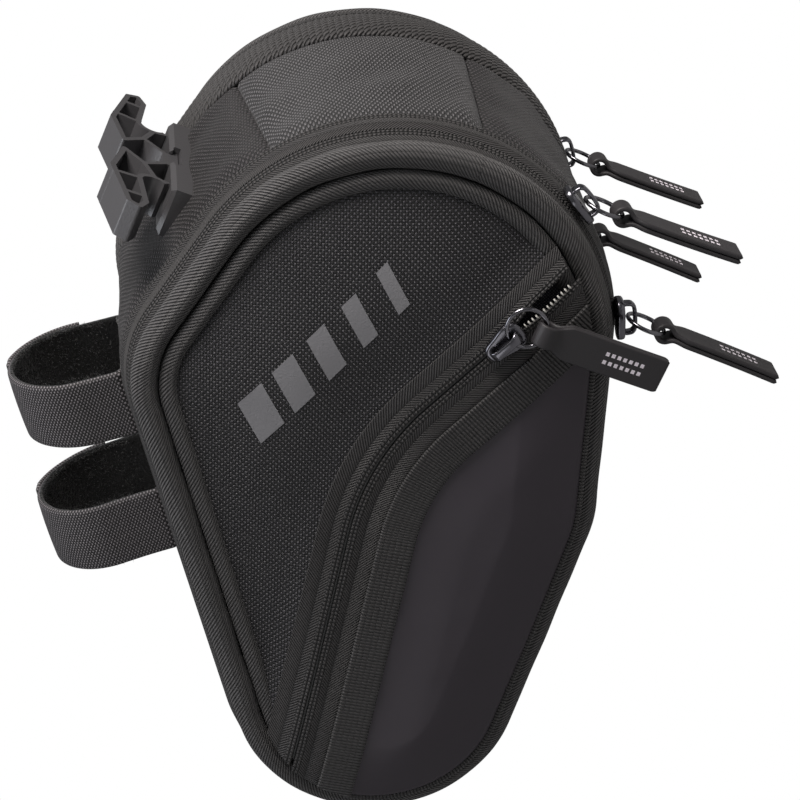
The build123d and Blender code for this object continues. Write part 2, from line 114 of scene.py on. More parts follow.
def run_at_hub(degrees):
    """Distance along the outline where it crosses a direction from the hub, from 0 to 360 degrees."""
    angle = np.degrees(np.unwrap(np.arctan2(POINT[:, 1] - HUB[1], POINT[:, 0] - HUB[0])))
    start = angle[0]
    return float(np.interp((degrees - start) % 360 + start, angle, RUN))


def inside(flat):
    """How far points (..., 2) lie inside the outline."""
    shape = flat.shape[:-1]
    reach = flat.reshape(-1, 2)
    deep = np.full(len(reach), 1e9)
    for cx, cz, radius in SUPPORT_LINES:
        deep = np.minimum(deep, radius - (reach[:, 0] * cx + reach[:, 1] * cz))
    return deep.reshape(shape)


def support_lines():
    """Tangent lines of the outline; the distance inside a convex shape is the least distance to one."""
    turn = np.radians(np.arange(0, 360, 1.5))
    normal = np.stack([np.cos(turn), np.sin(turn)], 1)
    reach = np.max(normal @ CIRCLES[:, :2].T + CIRCLES[:, 2], axis=1)
    return [(n[0], n[1], r) for n, r in zip(normal, reach)]


SUPPORT_LINES = support_lines()


def ease(t):
    """Smooth step: t * t * (3 - 2 t), with t held between 0 and 1."""
    t = np.clip(t, 0, 1)
    return t * t * (3 - 2 * t)


def ripple(a, b, seed, length):
    """Smooth wandering from -1 to 1: a sum of sines along random directions, about one per length."""
    rng = np.random.default_rng(seed)
    total = np.zeros(np.broadcast(a, b).shape)
    for _ in range(7):
        turn = rng.uniform(0, 2 * math.pi)
        pitch = 2 * math.pi / (length * rng.uniform(0.6, 1.7))
        start = rng.uniform(0, 6.3)
        total = total + np.sin((a * math.cos(turn) + b * math.sin(turn)) * pitch + start)
    return total / 4.0


# ------------------------------------------------------------------ mesh makers
def own_name(name):
    """A piece that stands for a CAD node of the same name takes a longer one."""
    return name + "_piece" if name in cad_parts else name


def new_mesh(name, points, faces, uvs, materials, face_material=None, weld=0.0005):
    """A mesh object from points in millimetres; uvs are one (u, v) in millimetres for each point, kept as
    metres. Points closer than weld are merged."""
    name = own_name(name)
    mesh = bpy.data.meshes.new(name)
    mesh.from_pydata((np.asarray(points, float) * MM).tolist(), [], faces)
    layer = mesh.uv_layers.new(name="cloth")
    loops = np.zeros(len(mesh.loops), np.int32)
    mesh.loops.foreach_get("vertex_index", loops)
    layer.data.foreach_set("uv", (np.asarray(uvs, float)[loops] * MM).astype(np.float32).ravel())
    for material in materials:
        mesh.materials.append(material)
    if face_material is not None:
        mesh.polygons.foreach_set("material_index", np.asarray(face_material, np.int32))
    work = bmesh.new()
    work.from_mesh(mesh)
    bmesh.ops.remove_doubles(work, verts=work.verts, dist=weld * MM)
    bmesh.ops.recalc_face_normals(work, faces=work.faces)
    work.to_mesh(mesh)
    work.free()
    mesh.polygons.foreach_set("use_smooth", [True] * len(mesh.polygons))
    made = bpy.data.objects.new(name, mesh)
    bpy.context.scene.collection.objects.link(made)
    return made


def grid_faces(rows, columns, start=0, flip=False):
    """Quads of a grid of points numbered row by row."""
    r, c = np.meshgrid(np.arange(rows - 1), np.arange(columns - 1), indexing="ij")
    a = (start + r * columns + c).ravel()
    quads = np.stack([a, a + 1, a + columns + 1, a + columns], 1)
    return (quads[:, ::-1] if flip else quads).tolist()


def surface(name, grid, uv, materials):
    """An open grid of points (rows, columns, 3) as one sheet of faces."""
    rows, columns = grid.shape[:2]
    return new_mesh(name, grid.reshape(-1, 3), grid_faces(rows, columns), uv.reshape(-1, 2), materials)


def grid_normals(grid, closed):
    """Unit normals of a grid of points; closed says whether its rows go round."""
    if closed:
        along = np.roll(grid[:-1], -1, axis=0) - np.roll(grid[:-1], 1, axis=0)
        along = np.concatenate([along, along[:1]])
    else:
        along = np.gradient(grid, axis=0)
    across = np.gradient(grid, axis=1)
    normal = np.cross(along, across)
    return normal / np.maximum(np.linalg.norm(normal, axis=-1, keepdims=True), 1e-9)


def cloth(name, grid, uv, thick, materials, closed=False, edge=None, back_material=None):
    """A sheet of real thickness with rounded edges: the grid is its middle surface, and thickness
    follows t * sqrt(1 - (1 - d/edge)^2) at a distance d from an edge. Rows that meet in one point make a
    pole there, with no edge."""
    rows, columns = grid.shape[:2]
    edge = thick / 2 if edge is None else edge
    normal = grid_normals(grid, closed)
    pole = closed and np.ptp(grid[:, -1], axis=0).max() < 1e-6
    if pole:
        peak = normal[:-1, -2].mean(axis=0)
        normal[:, -1] = peak / np.linalg.norm(peak)

    def roll_off(steps):
        """Share of the full thickness at each point of a row, from the steps between its points."""
        away = np.concatenate([np.zeros_like(steps[..., :1]), np.cumsum(steps, axis=-1)], axis=-1)
        nearest = away if pole else np.minimum(away, away[..., -1:] - away)
        return np.sqrt(np.maximum(0.04, 1 - (1 - np.clip(nearest / edge, 0, 1)) ** 2))

    half = roll_off(np.linalg.norm(np.diff(grid, axis=1), axis=-1)) * thick / 2
    if not closed:
        ends = roll_off(np.linalg.norm(np.diff(grid, axis=0), axis=-1).T).T
        half = np.minimum(half, ends * thick / 2)
    top = grid + normal * half[..., None]
    low = grid - normal * half[..., None]
    count = rows * columns
    faces = grid_faces(rows, columns) + grid_faces(rows, columns, count, True)
    top_count = len(faces) // 2
    number = np.arange(count).reshape(rows, columns)
    edges = [number[:, 0]] if pole else [number[:, 0], number[::-1, -1]]
    if not closed:
        edges += [number[0, ::-1], number[-1, :]]
    for line in edges:
        a, b = line[:-1], line[1:]
        faces += np.stack([a, b, b + count, a + count], 1).tolist()
    index = None
    if back_material is not None:
        index = np.zeros(len(faces), np.int32)
        index[top_count:2 * top_count] = back_material
    points = np.concatenate([top.reshape(-1, 3), low.reshape(-1, 3)])
    flat_uv = uv.reshape(-1, 2)
    return new_mesh(name, points, faces, np.concatenate([flat_uv, flat_uv]), materials, index)


def spaced(width, count, edge):
    """Positions from 0 to width, closer together near both ends."""
    head = edge * np.array([0.0, 0.12, 0.35, 0.65])
    return np.r_[head, np.linspace(edge, width - edge, count), width - head[::-1]]


def tube(name, path, radius_a, radius_b, up, materials, around=12, closed=False, power=2.0):
    """A bar along a path of points: its section is a superellipse |a|^p + |b|^p = 1, with radius_b along
    up and radius_a square to it."""
    path = np.asarray(path, float)
    if closed:
        along = np.roll(path, -1, axis=0) - np.roll(path, 1, axis=0)
        along = np.concatenate([along, along[:1]])
        path = np.concatenate([path, path[:1]])
    else:
        along = np.gradient(path, axis=0)
    count = len(path)
    along /= np.linalg.norm(along, axis=1, keepdims=True)
    up = np.broadcast_to(np.asarray(up, float), path.shape)
    side = np.cross(along, up)
    side /= np.linalg.norm(side, axis=1, keepdims=True)
    rise = np.cross(side, along)
    turn = np.linspace(0, 2 * math.pi, around + 1)
    c, s = np.cos(turn), np.sin(turn)
    ca = np.sign(c) * np.abs(c) ** (2 / power)
    sa = np.sign(s) * np.abs(s) ** (2 / power)
    ra = np.broadcast_to(radius_a, (count,))[:, None, None]
    rb = np.broadcast_to(radius_b, (count,))[:, None, None]
    grid = path[:, None] + side[:, None] * ca[None, :, None] * ra + rise[:, None] * sa[None, :, None] * rb
    run = np.r_[0, np.cumsum(np.linalg.norm(np.diff(path, axis=0), axis=1))]
    uv = np.stack(np.broadcast_arrays(run[:, None], turn[None] * float(np.max(radius_a))), -1)
    faces = grid_faces(count, around + 1)
    if not closed:
        last = (count - 1) * (around + 1)
        faces += [list(range(around)), list(range(last, last + around))]
    return new_mesh(name, grid.reshape(-1, 3), faces, uv.reshape(-1, 2), materials)


def join(name, parts):
    """Several mesh objects as one piece with that name."""
    first = parts[0]
    with bpy.context.temp_override(active_object=first, selected_editable_objects=parts):
        bpy.ops.object.join()
    first.name = own_name(name)
    first.data.name = first.name
    return first


# ------------------------------------------------------------------ materials
def linear(code):
    """sRGB hex as linear red, green, blue and alpha."""
    values = [int(code[i:i + 2], 16) / 255 for i in (0, 2, 4)]
    return [v / 12.92 if v <= 0.04045 else ((v + 0.055) / 1.055) ** 2.4 for v in values] + [1.0]


class Nodes:
    """A node tree being built."""

    def __init__(self, tree):
        self.tree = tree

    def put(self, socket, value):
        """Links a socket to another one or gives it a plain value; None leaves it alone."""
        if isinstance(value, bpy.types.NodeSocket):
            self.tree.links.new(value, socket)
        elif value is not None:
            socket.default_value = value

    def add(self, kind, *values, out=0, **settings):
        """Adds a node and gives back one of its outputs. Values go to its inputs in order; a setting goes to
        the input of that name, or else to the node itself."""
        node = self.tree.nodes.new("ShaderNode" + kind)
        for key, value in settings.items():
            if key in node.inputs:
                self.put(node.inputs[key], value)
            else:
                setattr(node, key, value)
        for socket, value in zip(node.inputs, values):
            self.put(socket, value)
        return node.outputs[out]


class Finish(Nodes):
    """A material being built on its Principled shader."""

    def __init__(self, name, code, rough, sheen=0.0, specular=0.5, metallic=0.0):
        self.material = bpy.data.materials.new(name)
        self.material.use_nodes = True
        super().__init__(self.material.node_tree)
        self.shader = self.tree.nodes["Principled BSDF"]
        self.colour = linear(code)
        values = {"Base Color": self.colour, "Roughness": rough, "Metallic": metallic,
                  "Specular IOR Level": specular, "Sheen Weight": sheen, "Sheen Roughness": 0.5}
        for key, value in values.items():
            self.shader.inputs[key].default_value = value

    def cloth_axes(self):
        """Distances along and across the cloth, in metres."""
        split = self.add("SeparateXYZ", self.add("UVMap", uv_map="cloth")).node
        return split.outputs[0], split.outputs[1]

    def tint(self, amount, low, high):
        """Base colour between low and high times the plain colour, by an amount from 0 to 1."""
        ends = [[min(1.0, v * scale) for v in self.colour[:3]] + [1.0] for scale in (low, high)]
        other_kinds = [None] * 5
        mixed = self.add("Mix", amount, *other_kinds, *ends, data_type="RGBA", out=2)
        self.put(self.shader.inputs["Base Color"], mixed)

    def relief(self, height, distance, strength=1.0):
        """Raises the surface by height times distance, in metres, on top of the relief that it has."""
        normal = self.shader.inputs["Normal"]
        before = normal.links[0].from_socket if normal.links else None
        raised = self.add("Bump", Strength=strength, Distance=distance, Height=height, Normal=before)
        self.put(normal, raised)


def thread(mat, across, pitch):
    """Round ridge of a thread: sqrt(1 - (2 f - 1)^2), f the share of the way across it."""
    share = mat.add("Math", mat.add("Math", across, pitch, operation="DIVIDE"), operation="FRACT")
    side = mat.add("Math", share, 2.0, -1.0, operation="MULTIPLY_ADD")
    rest = mat.add("Math", 1.0, mat.add("Math", side, side, operation="MULTIPLY"), operation="SUBTRACT")
    rest = mat.add("Math", rest, 0.0, operation="MAXIMUM")
    return mat.add("Math", rest, operation="SQRT")


def woven(name, code, rough, pitch, stretch=1.0, depth=0.0006, **more):
    """Weave of thick threads: the floats stand up in a chequer, each bowed both ways, and the crossing ones
    sink between them. stretch is a float's length across the cloth over its length along it."""
    mat = Finish(name, code, rough, **more)
    u, v = mat.cloth_axes()
    wide = pitch * stretch
    cu = mat.add("Math", mat.add("Math", u, pitch, operation="DIVIDE"), operation="FLOOR")
    cv = mat.add("Math", mat.add("Math", v, wide, operation="DIVIDE"), operation="FLOOR")
    odd = mat.add("Math", mat.add("Math", cu, cv, operation="ADD"), 2.0, operation="FLOORED_MODULO")
    dome = mat.add("Math", thread(mat, v, wide), thread(mat, u, pitch), operation="MULTIPLY")
    stand = mat.add("Math", odd, 0.8, 0.2, operation="MULTIPLY_ADD")
    height = mat.add("Math", dome, stand, operation="MULTIPLY")
    place_on = mat.add("TexCoord", out="Object")
    mat.relief(mat.add("TexNoise", place_on, Scale=40.0, Detail=3.0, out="Fac"), 0.0008, 0.25)
    mat.relief(height, depth)
    # Colour from the relief: a painted highlight on each float's crown and painted shade where the crossing
    # threads sink, spread unevenly by noise.
    painted_crown_highlight = mat.add("Math", height, 1.3, operation="POWER")
    patchy = mat.add("TexNoise", place_on, Scale=60.0, out="Fac")
    noise_spread = mat.add("Math", patchy, 0.3, 0.85, operation="MULTIPLY_ADD")
    mat.tint(mat.add("Math", painted_crown_highlight, noise_spread, operation="MULTIPLY"), 0.02, 8.8)
    return mat.material


def herringbone(name, code, rough, pitch=0.00095, half=0.0042, chain=0.0021):
    """Zip tape: slanting ribs that turn back at each column, half wide, and beside the coil, at v = 0, the
    chain of knots that holds it, two rows of round loops."""
    mat = Finish(name, code, rough, sheen=0.05, specular=0.3)
    u, v = mat.cloth_axes()
    v = mat.add("Math", v, operation="ABSOLUTE")
    slant = mat.add("Math", u, mat.add("Math", v, half, operation="PINGPONG"), operation="ADD")
    column = mat.add("Math", thread(mat, v, half), 0.3, 0.7, operation="MULTIPLY_ADD")
    herring = mat.add("Math", thread(mat, slant, pitch), column, operation="MULTIPLY")
    knots = mat.add("Math", thread(mat, u, pitch * 1.3), thread(mat, v, chain / 2), operation="MULTIPLY")
    near = mat.add("Math", v, chain, operation="LESS_THAN")
    far = mat.add("Math", 1.0, near, operation="SUBTRACT")
    beside = mat.add("Math", near, knots, operation="MULTIPLY")
    height = mat.add("Math", far, herring, beside, operation="MULTIPLY_ADD")
    mat.relief(height, 0.0009)
    # Colour from the relief: the raised threads get a painted highlight and the hollows painted shade.
    mat.tint(mat.add("Math", height, 2.0, operation="POWER"), 0.04, 7.0)
    return mat.material


def ribbed(name, code, rough, pitch, slant):
    """Ribs across the strip, slanted by a share of the width, each broken into short stitches."""
    mat = Finish(name, code, rough, sheen=0.1, specular=0.3)
    u, v = mat.cloth_axes()
    rib = thread(mat, mat.add("Math", v, slant, u, operation="MULTIPLY_ADD"), pitch)
    fine = mat.add("Math", thread(mat, v, pitch * 1.6), 0.25, 0.75, operation="MULTIPLY_ADD")
    height = mat.add("Math", rib, fine, operation="MULTIPLY")
    mat.relief(height, 0.0009)
    # Colour from the relief: a painted highlight on each rib's crown and painted shade in the valleys, spread
    # unevenly by noise.
    painted_crown_highlight = mat.add("Math", height, 2.0, operation="POWER")
    patchy = mat.add("TexNoise", mat.add("TexCoord", out="Object"), Scale=80.0, out="Fac")
    noise_spread = mat.add("Math", patchy, 0.4, 0.75, operation="MULTIPLY_ADD")
    mat.tint(mat.add("Math", painted_crown_highlight, noise_spread, operation="MULTIPLY"), 0.03, 6.6)
    return mat.material


def plain(name, code, rough, grain=0.0, grain_scale=900.0, **more):
    """A smooth or finely grained finish, slightly uneven in gloss. grain is its depth in metres and
    grain_scale its number of grains in a metre."""
    mat = Finish(name, code, rough, **more)
    place_on = mat.add("TexCoord", out="Object")
    if grain:
        mat.relief(mat.add("TexNoise", place_on, Scale=grain_scale, Detail=3.0, out="Fac"), grain)
    patchy = mat.add("TexNoise", place_on, Scale=25.0, Detail=3.0, out="Fac")
    gloss = mat.add("Math", patchy, 0.12, rough - 0.06, operation="MULTIPLY_ADD")
    mat.put(mat.shader.inputs["Roughness"], gloss)
    return mat.material


# The dashes printed on a pull: where they begin and end down it, and the rows beside its middle.
DASH_FROM, DASH_TO = 0.0165, 0.0285
DASH_PITCH, DASH_SHARE = 0.0017, 0.6
ROW_AT, ROW_HALF = 0.0012, 0.00055


def printed_rubber():
    """Black moulded strap with two rows of short pale printed dashes on its tail; u runs down the pull."""
    mat = Finish("rubber_pull_printed", "302e30", 0.5, specular=0.4)
    u, v = mat.cloth_axes()
    from_middle = mat.add("Math", v, operation="ABSOLUTE")
    past_row = mat.add("Math", from_middle, ROW_AT, operation="SUBTRACT")
    from_row = mat.add("Math", past_row, operation="ABSOLUTE")
    row = mat.add("Math", from_row, ROW_HALF, operation="LESS_THAN")
    share = mat.add("Math", mat.add("Math", u, DASH_PITCH, operation="DIVIDE"), operation="FRACT")
    dash = mat.add("Math", share, DASH_SHARE, operation="LESS_THAN")
    after = mat.add("Math", u, DASH_FROM, operation="GREATER_THAN")
    before = mat.add("Math", u, DASH_TO, operation="LESS_THAN")
    dashes = mat.add("Math", row, dash, operation="MULTIPLY")
    stretch = mat.add("Math", after, before, operation="MULTIPLY")
    ink = mat.add("Math", dashes, stretch, operation="MULTIPLY")
    place_on = mat.add("TexCoord", out="Object")
    specks = mat.add("TexNoise", place_on, Scale=1500.0, out="Fac")
    # Noise specks wear the printed dashes unevenly.
    noise_spread = mat.add("Math", specks, 0.6, 0.6, operation="MULTIPLY_ADD")
    mat.tint(mat.add("Math", ink, noise_spread, operation="MULTIPLY"), 1.0, 32.0)
    mat.relief(mat.add("TexNoise", place_on, Scale=1400.0, out="Fac"), 0.00005)
    return mat.material


# Ballistic nylon, woven from thick bulked yarn: dull black, each float with a small soft highlight painted on
# its crown. The real floats are about 0.5 mm long. They are drawn 0.8 mm long, as coarse as they need to be
# to show.
BALLISTIC = woven("ballistic_nylon_thick_weave", "151416", 0.5, 0.0008, 1.0, depth=0.0008,
                  sheen=0.05, specular=0.45)
# The same cloth on foam. The gusset is seen along its width, so its floats are drawn long that way to show.
GUSSET = woven("gusset_nylon_thick_weave", "141213", 0.5, 0.00072, 1.9, depth=0.001,
               sheen=0.08, specular=0.4)
# The rear panel is dyed grey, so the light it throws back hides more of its weave.
GUSSET_GREY = woven("gusset_nylon_lighter_panel", "242324", 0.48, 0.00072, 1.9, depth=0.001,
                    sheen=0.1, specular=0.45)
# Ribbed nylon bands, woven on a narrow loom: rows of slanting ridges, with painted highlight on them and
# painted shade in the valleys between them.
BAND = ribbed("ribbed_band_nylon", "171616", 0.55, 0.0014, 0.9)
RIM = ribbed("rim_roll_diagonal_rib_nylon", "232222", 0.52, 0.0012, 1.0)
# Polyester zip tape, woven in herringbone: matt zigzag columns and a chain of knots beside the coil, with
# painted highlight on the raised threads and painted shade in the hollows.
ZIP_TAPE = herringbone("zip_tape_herringbone", "181717", 0.55)
# Grosgrain, a narrow ribbon with ribs straight across it: a fine ladder of painted highlight on the ribs and
# painted shade between them.
GROSGRAIN = ribbed("grosgrain_binding", "1a1919", 0.5, 0.001, 0.0)
# Polyurethane-coated fabric: no weave to see, a satin skin that catches broad soft lights.
COATED = plain("coated_fabric_satin", "39343a", 0.45, grain=0.0003, grain_scale=70.0, specular=0.35)
# Nylon taffeta, woven fine and flat: nearly even grey with a faint sheen.
LINING = woven("lining_taffeta", "26262a", 0.5, 0.00045, 1.0, 0.00008, sheen=0.1)
# Nylon monofilament, wound into the zip's coil: small round glossy ridges. Where the zip is open its teeth
# are a pale copy of the same nylon, a painted highlight for the light dots along the opening.
COIL = plain("zip_coil_nylon", "2a2a2a", 0.38, specular=0.5)
OPEN_TEETH_PAINTED_HIGHLIGHT = plain("zip_open_teeth_painted_highlight", "b4b2ac", 0.35, specular=0.5)
# Glass-filled nylon, injection moulded: dark grey with a fine grain and soft broad lights on its flats.
CLIP_PLASTIC = plain("clip_glass_filled_nylon", "474648", 0.36, grain=0.00005, grain_scale=1600.0,
                     specular=0.6)
# Cast zinc with a gunmetal plating, blackened steel wire and plated steel: smooth, dark and mirror-like.
GUNMETAL = plain("slider_gunmetal_zinc", "77767c", 0.24, metallic=1.0)
WIRE = plain("ring_blackened_steel_wire", "7c7b80", 0.2, metallic=1.0)
STEEL = plain("screw_steel", "7a7a7a", 0.3, metallic=1.0)
# Hook-and-loop strap, woven outside and brushed inside: a dry greyish weave over a deep dull black pile.
WEBBING = woven("strap_webbing_woven", "312f30", 0.6, 0.0005, 1.6, 0.0003, specular=0.35)
PILE = plain("strap_loop_pile", "0c0c0c", 0.95, grain=0.0007, grain_scale=1300.0, sheen=0.35,
             specular=0.1)
# Soft PVC, moulded: even matt black, with the dashes printed on it.
RUBBER = printed_rubber()
# Screen ink: flat matt grey, with the weave showing through as a slight grain.
PRINT = plain("grey_screen_print", "828184", 0.6, grain=0.00012, grain_scale=1500.0)


def place(piece, body, stands_for=()):
    """Puts a piece on its body and hides the CAD nodes that it stands for."""
    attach(piece, body)
    if stands_for:
        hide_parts(*stands_for)


# ------------------------------------------------------------------ gusset
GUSSET_FRONT, GUSSET_BACK = -46.5, 28.0
GUSSET_OFF = -2.9
# Seams between the panels: direction from the hub at the front edge and at the ribbed band.
SEAMS = {"rear_low": (2.0, 0.0), "rear_high": (37.5, 43.0), "top": (97.0, 97.0), "flank": (176.0, 176.0),
         "nose": (235.0, 235.0)}
PANELS = {"gusset_rear": ("rear_low", "rear_high", GUSSET_GREY), "gusset_top": ("rear_high", "top", GUSSET),
          "gusset_flank": ("top", "flank", GUSSET), "gusset_nose": ("flank", "nose", GUSSET),
          "gusset_belly": ("nose", "rear_low", GUSSET)}


def gusset_panel(name, low_seam, high_seam, material):
    """Foam-backed cloth between two seams: it bows out between them, and turns in at every edge."""
    y = GUSSET_FRONT + spaced(GUSSET_BACK - GUSSET_FRONT, 34, 2.5)
    share = (y - GUSSET_FRONT) / (GUSSET_BACK - GUSSET_FRONT)
    ends = []
    for seam in (low_seam, high_seam):
        front, back = (run_at_hub(a % 360) for a in SEAMS[seam])
        ends.append(front + (back - front) * share)
    length = np.mod(ends[1] - ends[0], ROUND)
    count = int(length.max() / 1.6) + 8
    along = spaced(1.0, count, 0.02)[:, None]
    run = ends[0][None] + along * length[None]
    from_seam = np.minimum(along, 1 - along) * length[None]
    from_edge = np.minimum(y - GUSSET_FRONT, GUSSET_BACK - y)[None]
    bow = ease(from_seam / 7.0) * ease(from_edge / 9.0)
    tuck = (1 - ease(from_seam / 1.8)) * 1.2 + (1 - ease(from_edge / 2.0)) * 0.8
    crease = 0.45 * ripple(run, y[None] * 1.2, 11, 26.0) * ease(from_seam / 5.0) * ease(from_edge / 5.0)
    off = GUSSET_OFF + 1.5 * bow - tuck + crease
    grid = ring(run, off, y)
    uv = np.stack([run, np.broadcast_to(y, run.shape)], -1)
    piece = cloth(name, grid, uv, 2.2, [material, LINING], edge=1.1)
    place(piece, "bag", [name])


for panel, (low, high, material) in PANELS.items():
    gusset_panel(panel, low, high, material)


def seam_thread(name, seam):
    """A rolled seam allowance along one seam, as a thin tight cord of folded cloth in the groove."""
    y = np.linspace(GUSSET_FRONT + 1, GUSSET_BACK - 0.5, 60)
    front, back = (run_at_hub(a % 360) for a in SEAMS[seam])
    share = (y - GUSSET_FRONT) / (GUSSET_BACK - GUSSET_FRONT)
    gap = np.mod(back - front + ROUND / 2, ROUND) - ROUND / 2
    run = front + gap * share
    _, normal = on_outline(run)
    up = np.stack([normal[:, 0], 0 * y, normal[:, 1]], 1)
    place(tube(name, ring(run, GUSSET_OFF - 1.0, y), 0.9, 0.8, up, [BAND], around=10), "bag")


for seam in SEAMS:
    seam_thread("gusset_seam_" + seam, seam)


# ------------------------------------------------------------------ swept rims and tapes
RUN_ALL = np.linspace(0, ROUND, 901)[:, None]
TAPE_THICK = 0.7


def rim_tape(name, side, start, end):
    """Strip of zip tape right round one side, from (off, depth) start to end."""
    sign = -1.0 if side == "front" else 1.0
    width = math.dist(start, end)
    across = spaced(width, 8, TAPE_THICK / 2)
    share = (across / width)[None]
    off = start[0] + (end[0] - start[0]) * share
    y = sign * (SEAM + start[1] + (end[1] - start[1]) * share)
    uv = np.stack(np.broadcast_arrays(RUN_ALL, across[None]), -1)
    return cloth(name, ring(RUN_ALL, off, y), uv, TAPE_THICK, [ZIP_TAPE], closed=True)


def rim_roll(name, side, centre, radii, material, count=22):
    """Closed padded roll round one side with an elliptical section, slightly uneven along its run."""
    sign = -1.0 if side == "front" else 1.0
    turn = np.linspace(0, 2 * math.pi, count + 1)[None]
    swell = 1 + 0.036 * ripple(RUN_ALL, 0 * RUN_ALL, 23, 18.0)
    off = centre[0] + radii[0] * np.cos(turn) * swell
    y = sign * (SEAM + centre[1] + radii[1] * np.sin(turn) * swell)
    uv = np.stack(np.broadcast_arrays(RUN_ALL, turn * (radii[0] + radii[1]) / 2), -1)
    return surface(name, ring(RUN_ALL, off, y), uv, [material])


def ribbed_band():
    """Ribbed band beside the back zip: real ribs, 2 mm apart, on a low roll. A rib is |sin| of the run."""
    run = np.linspace(0, ROUND, 2401)[:, None]
    across = spaced(18.0, 12, 1.6)
    y = (27.4 + across)[None]
    roll = np.sqrt(np.maximum(0.0, 1 - ((across - 9.0) / 9.6) ** 2))[None]
    rib_count = round(ROUND / 2)
    rib = 0.35 * np.abs(np.sin(math.pi * rib_count * run / ROUND))
    off = -3.6 + 3.0 * roll + rib * roll
    uv = np.stack(np.broadcast_arrays(run, y), -1)
    piece = cloth("gusset_band", ring(run, off, y), uv, 2.0, [BAND, LINING], closed=True)
    place(piece, "bag", ["gusset_band"])


ribbed_band()

for side in ("front", "back"):
    lid = side + "_lid"
    body_tape = rim_tape(side + "_body_tape", side, (-0.9, -2.4), (-2.5, 4.87))
    place(body_tape, "bag", [side + "_body_tape"])
    lid_tape = rim_tape(side + "_lid_tape", side, (-2.55, 5.13), (-5.0, 10.2))
    place(lid_tape, lid, [side + "_lid_tape"])
    cord_low = rim_roll(side + "_body_coil", side, (-3.9, 4.2), (0.65, 0.6), COIL, count=8)
    place(cord_low, "bag", [side + "_body_coil"])
    cord_high = rim_roll(side + "_lid_coil", side, (-4.1, 5.75), (0.65, 0.6), COIL, count=8)
    place(cord_high, lid, [side + "_lid_coil"])
    outer = rim_roll(side + "_rim_roll", side, (-7.0, 11.4), (3.6, 3.7), RIM)
    place(outer, lid, [side + "_rim_roll"])


# ------------------------------------------------------------------ lids
POCKET_NOSE = np.array([-133.0, -93.6])
POCKET_CORNER = np.array([-33.0, -74.5])
POCKET_REAR = np.array([38.0, -107.0])
BEND = 70.0
# The front face's edges: off from the outline, and under the pocket's line.
FACE_OFF, FACE_UNDER = -14.6, -5.0
INNER_ROLL_OFF, INNER_ROLL_DEPTH = -13.4, 12.2


class PocketLine:
    """The pocket zip's line: two straight runs joined by an arc of radius BEND. across() is how far a
    point lies under it, at() walks along it, both square to the line."""

    def __init__(self):
        self.way_a = (POCKET_CORNER - POCKET_NOSE) / np.linalg.norm(POCKET_CORNER - POCKET_NOSE)
        self.way_b = (POCKET_REAR - POCKET_CORNER) / np.linalg.norm(POCKET_REAR - POCKET_CORNER)
        self.down_a = np.array([self.way_a[1], -self.way_a[0]])
        self.down_b = np.array([self.way_b[1], -self.way_b[0]])
        self.turn = math.acos(float(self.way_a @ self.way_b))
        self.cut = BEND * math.tan(self.turn / 2)
        self.centre = POCKET_CORNER - self.way_a * self.cut + self.down_a * BEND
        self.arc = BEND * self.turn

    def at(self, along, under):
        """Points at a distance along (0 where the bend starts) and a distance under the line."""
        along, under = np.broadcast_arrays(np.asarray(along, float), np.asarray(under, float))
        start = POCKET_CORNER - self.way_a * self.cut
        end = POCKET_CORNER + self.way_b * self.cut
        angle = np.clip(along / BEND, 0, self.turn)
        out_a = -self.down_a
        cos, sin = np.cos(-angle)[..., None], np.sin(-angle)[..., None]
        out = np.concatenate([out_a[0] * cos - out_a[1] * sin, out_a[0] * sin + out_a[1] * cos], -1)
        bent = self.centre + out * (BEND - under)[..., None]
        first = start + self.way_a * np.minimum(along, 0)[..., None] + self.down_a * under[..., None]
        last = end + self.way_b * np.maximum(along - self.arc, 0)[..., None] + self.down_b * under[..., None]
        return np.where((along < 0)[..., None], first, np.where((along > self.arc)[..., None], last, bent))

    def under(self, flat):
        """How far points lie under the line; negative above it."""
        rel = flat - self.centre
        straight_a = (flat - POCKET_CORNER) @ self.down_a
        straight_b = (flat - POCKET_CORNER) @ self.down_b
        bent = BEND - np.linalg.norm(rel, axis=-1)
        before = rel @ self.way_a < 0
        after = rel @ self.way_b > 0
        return np.where(before, straight_a, np.where(after, straight_b, bent))

    def span(self, under, off):
        """The two distances along, at one distance under, where the line crosses the outline's offset. The
        walk from -140 to 160 begins and ends outside the bag."""
        along = np.linspace(-140, 160, 1501)
        deep = inside(self.at(along, under))
        within = np.nonzero(deep > -off)[0]
        return along[within[0]], along[within[-1]]


LINE = PocketLine()


def front_height(flat):
    """Depth of the front lid's cloth: a dome above the pocket line that rises from the inner roll, and a
    fuller, flatter cushion under it."""
    deep = inside(flat)
    under = LINE.under(flat)
    face = 12.4 + 6.4 * np.sin(0.5 * math.pi * np.clip((deep - 14.5) / 34.0, 0, 1)) ** 0.9
    pocket = 15.5 + 4.3 * np.sqrt(np.clip((deep - 8.6) / 20.0, 0, 1))
    mix = ease((under + 15.0) / 15.0)
    return face * (1 - mix) + pocket * mix


def lid_points(side, flat, depth):
    """Points (x, z) of a lid at depths out from its seam plane."""
    sign = -1.0 if side == "front" else 1.0
    return np.stack([flat[..., 0], sign * (SEAM + depth), flat[..., 1]], -1)


def nearest_run(point, off):
    """Distance along the outline at which its offset passes nearest to a point."""
    gap = np.linalg.norm(POINT + off * NORMAL - point, axis=1)
    return RUN[gap.argmin()]


def disc(inset, rings, last_shares):
    """Points of a sheet that fills the outline: rings that shrink from it, inset inwards, to the heart, by
    even shares up to 0.9 and then by the last ones."""
    share = np.r_[np.linspace(0, 0.9, rings), last_shares][None, :, None]
    point, normal = on_outline(np.linspace(0, ROUND, 361))
    return (point - inset * normal)[:, None] * (1 - share) + HEART * share


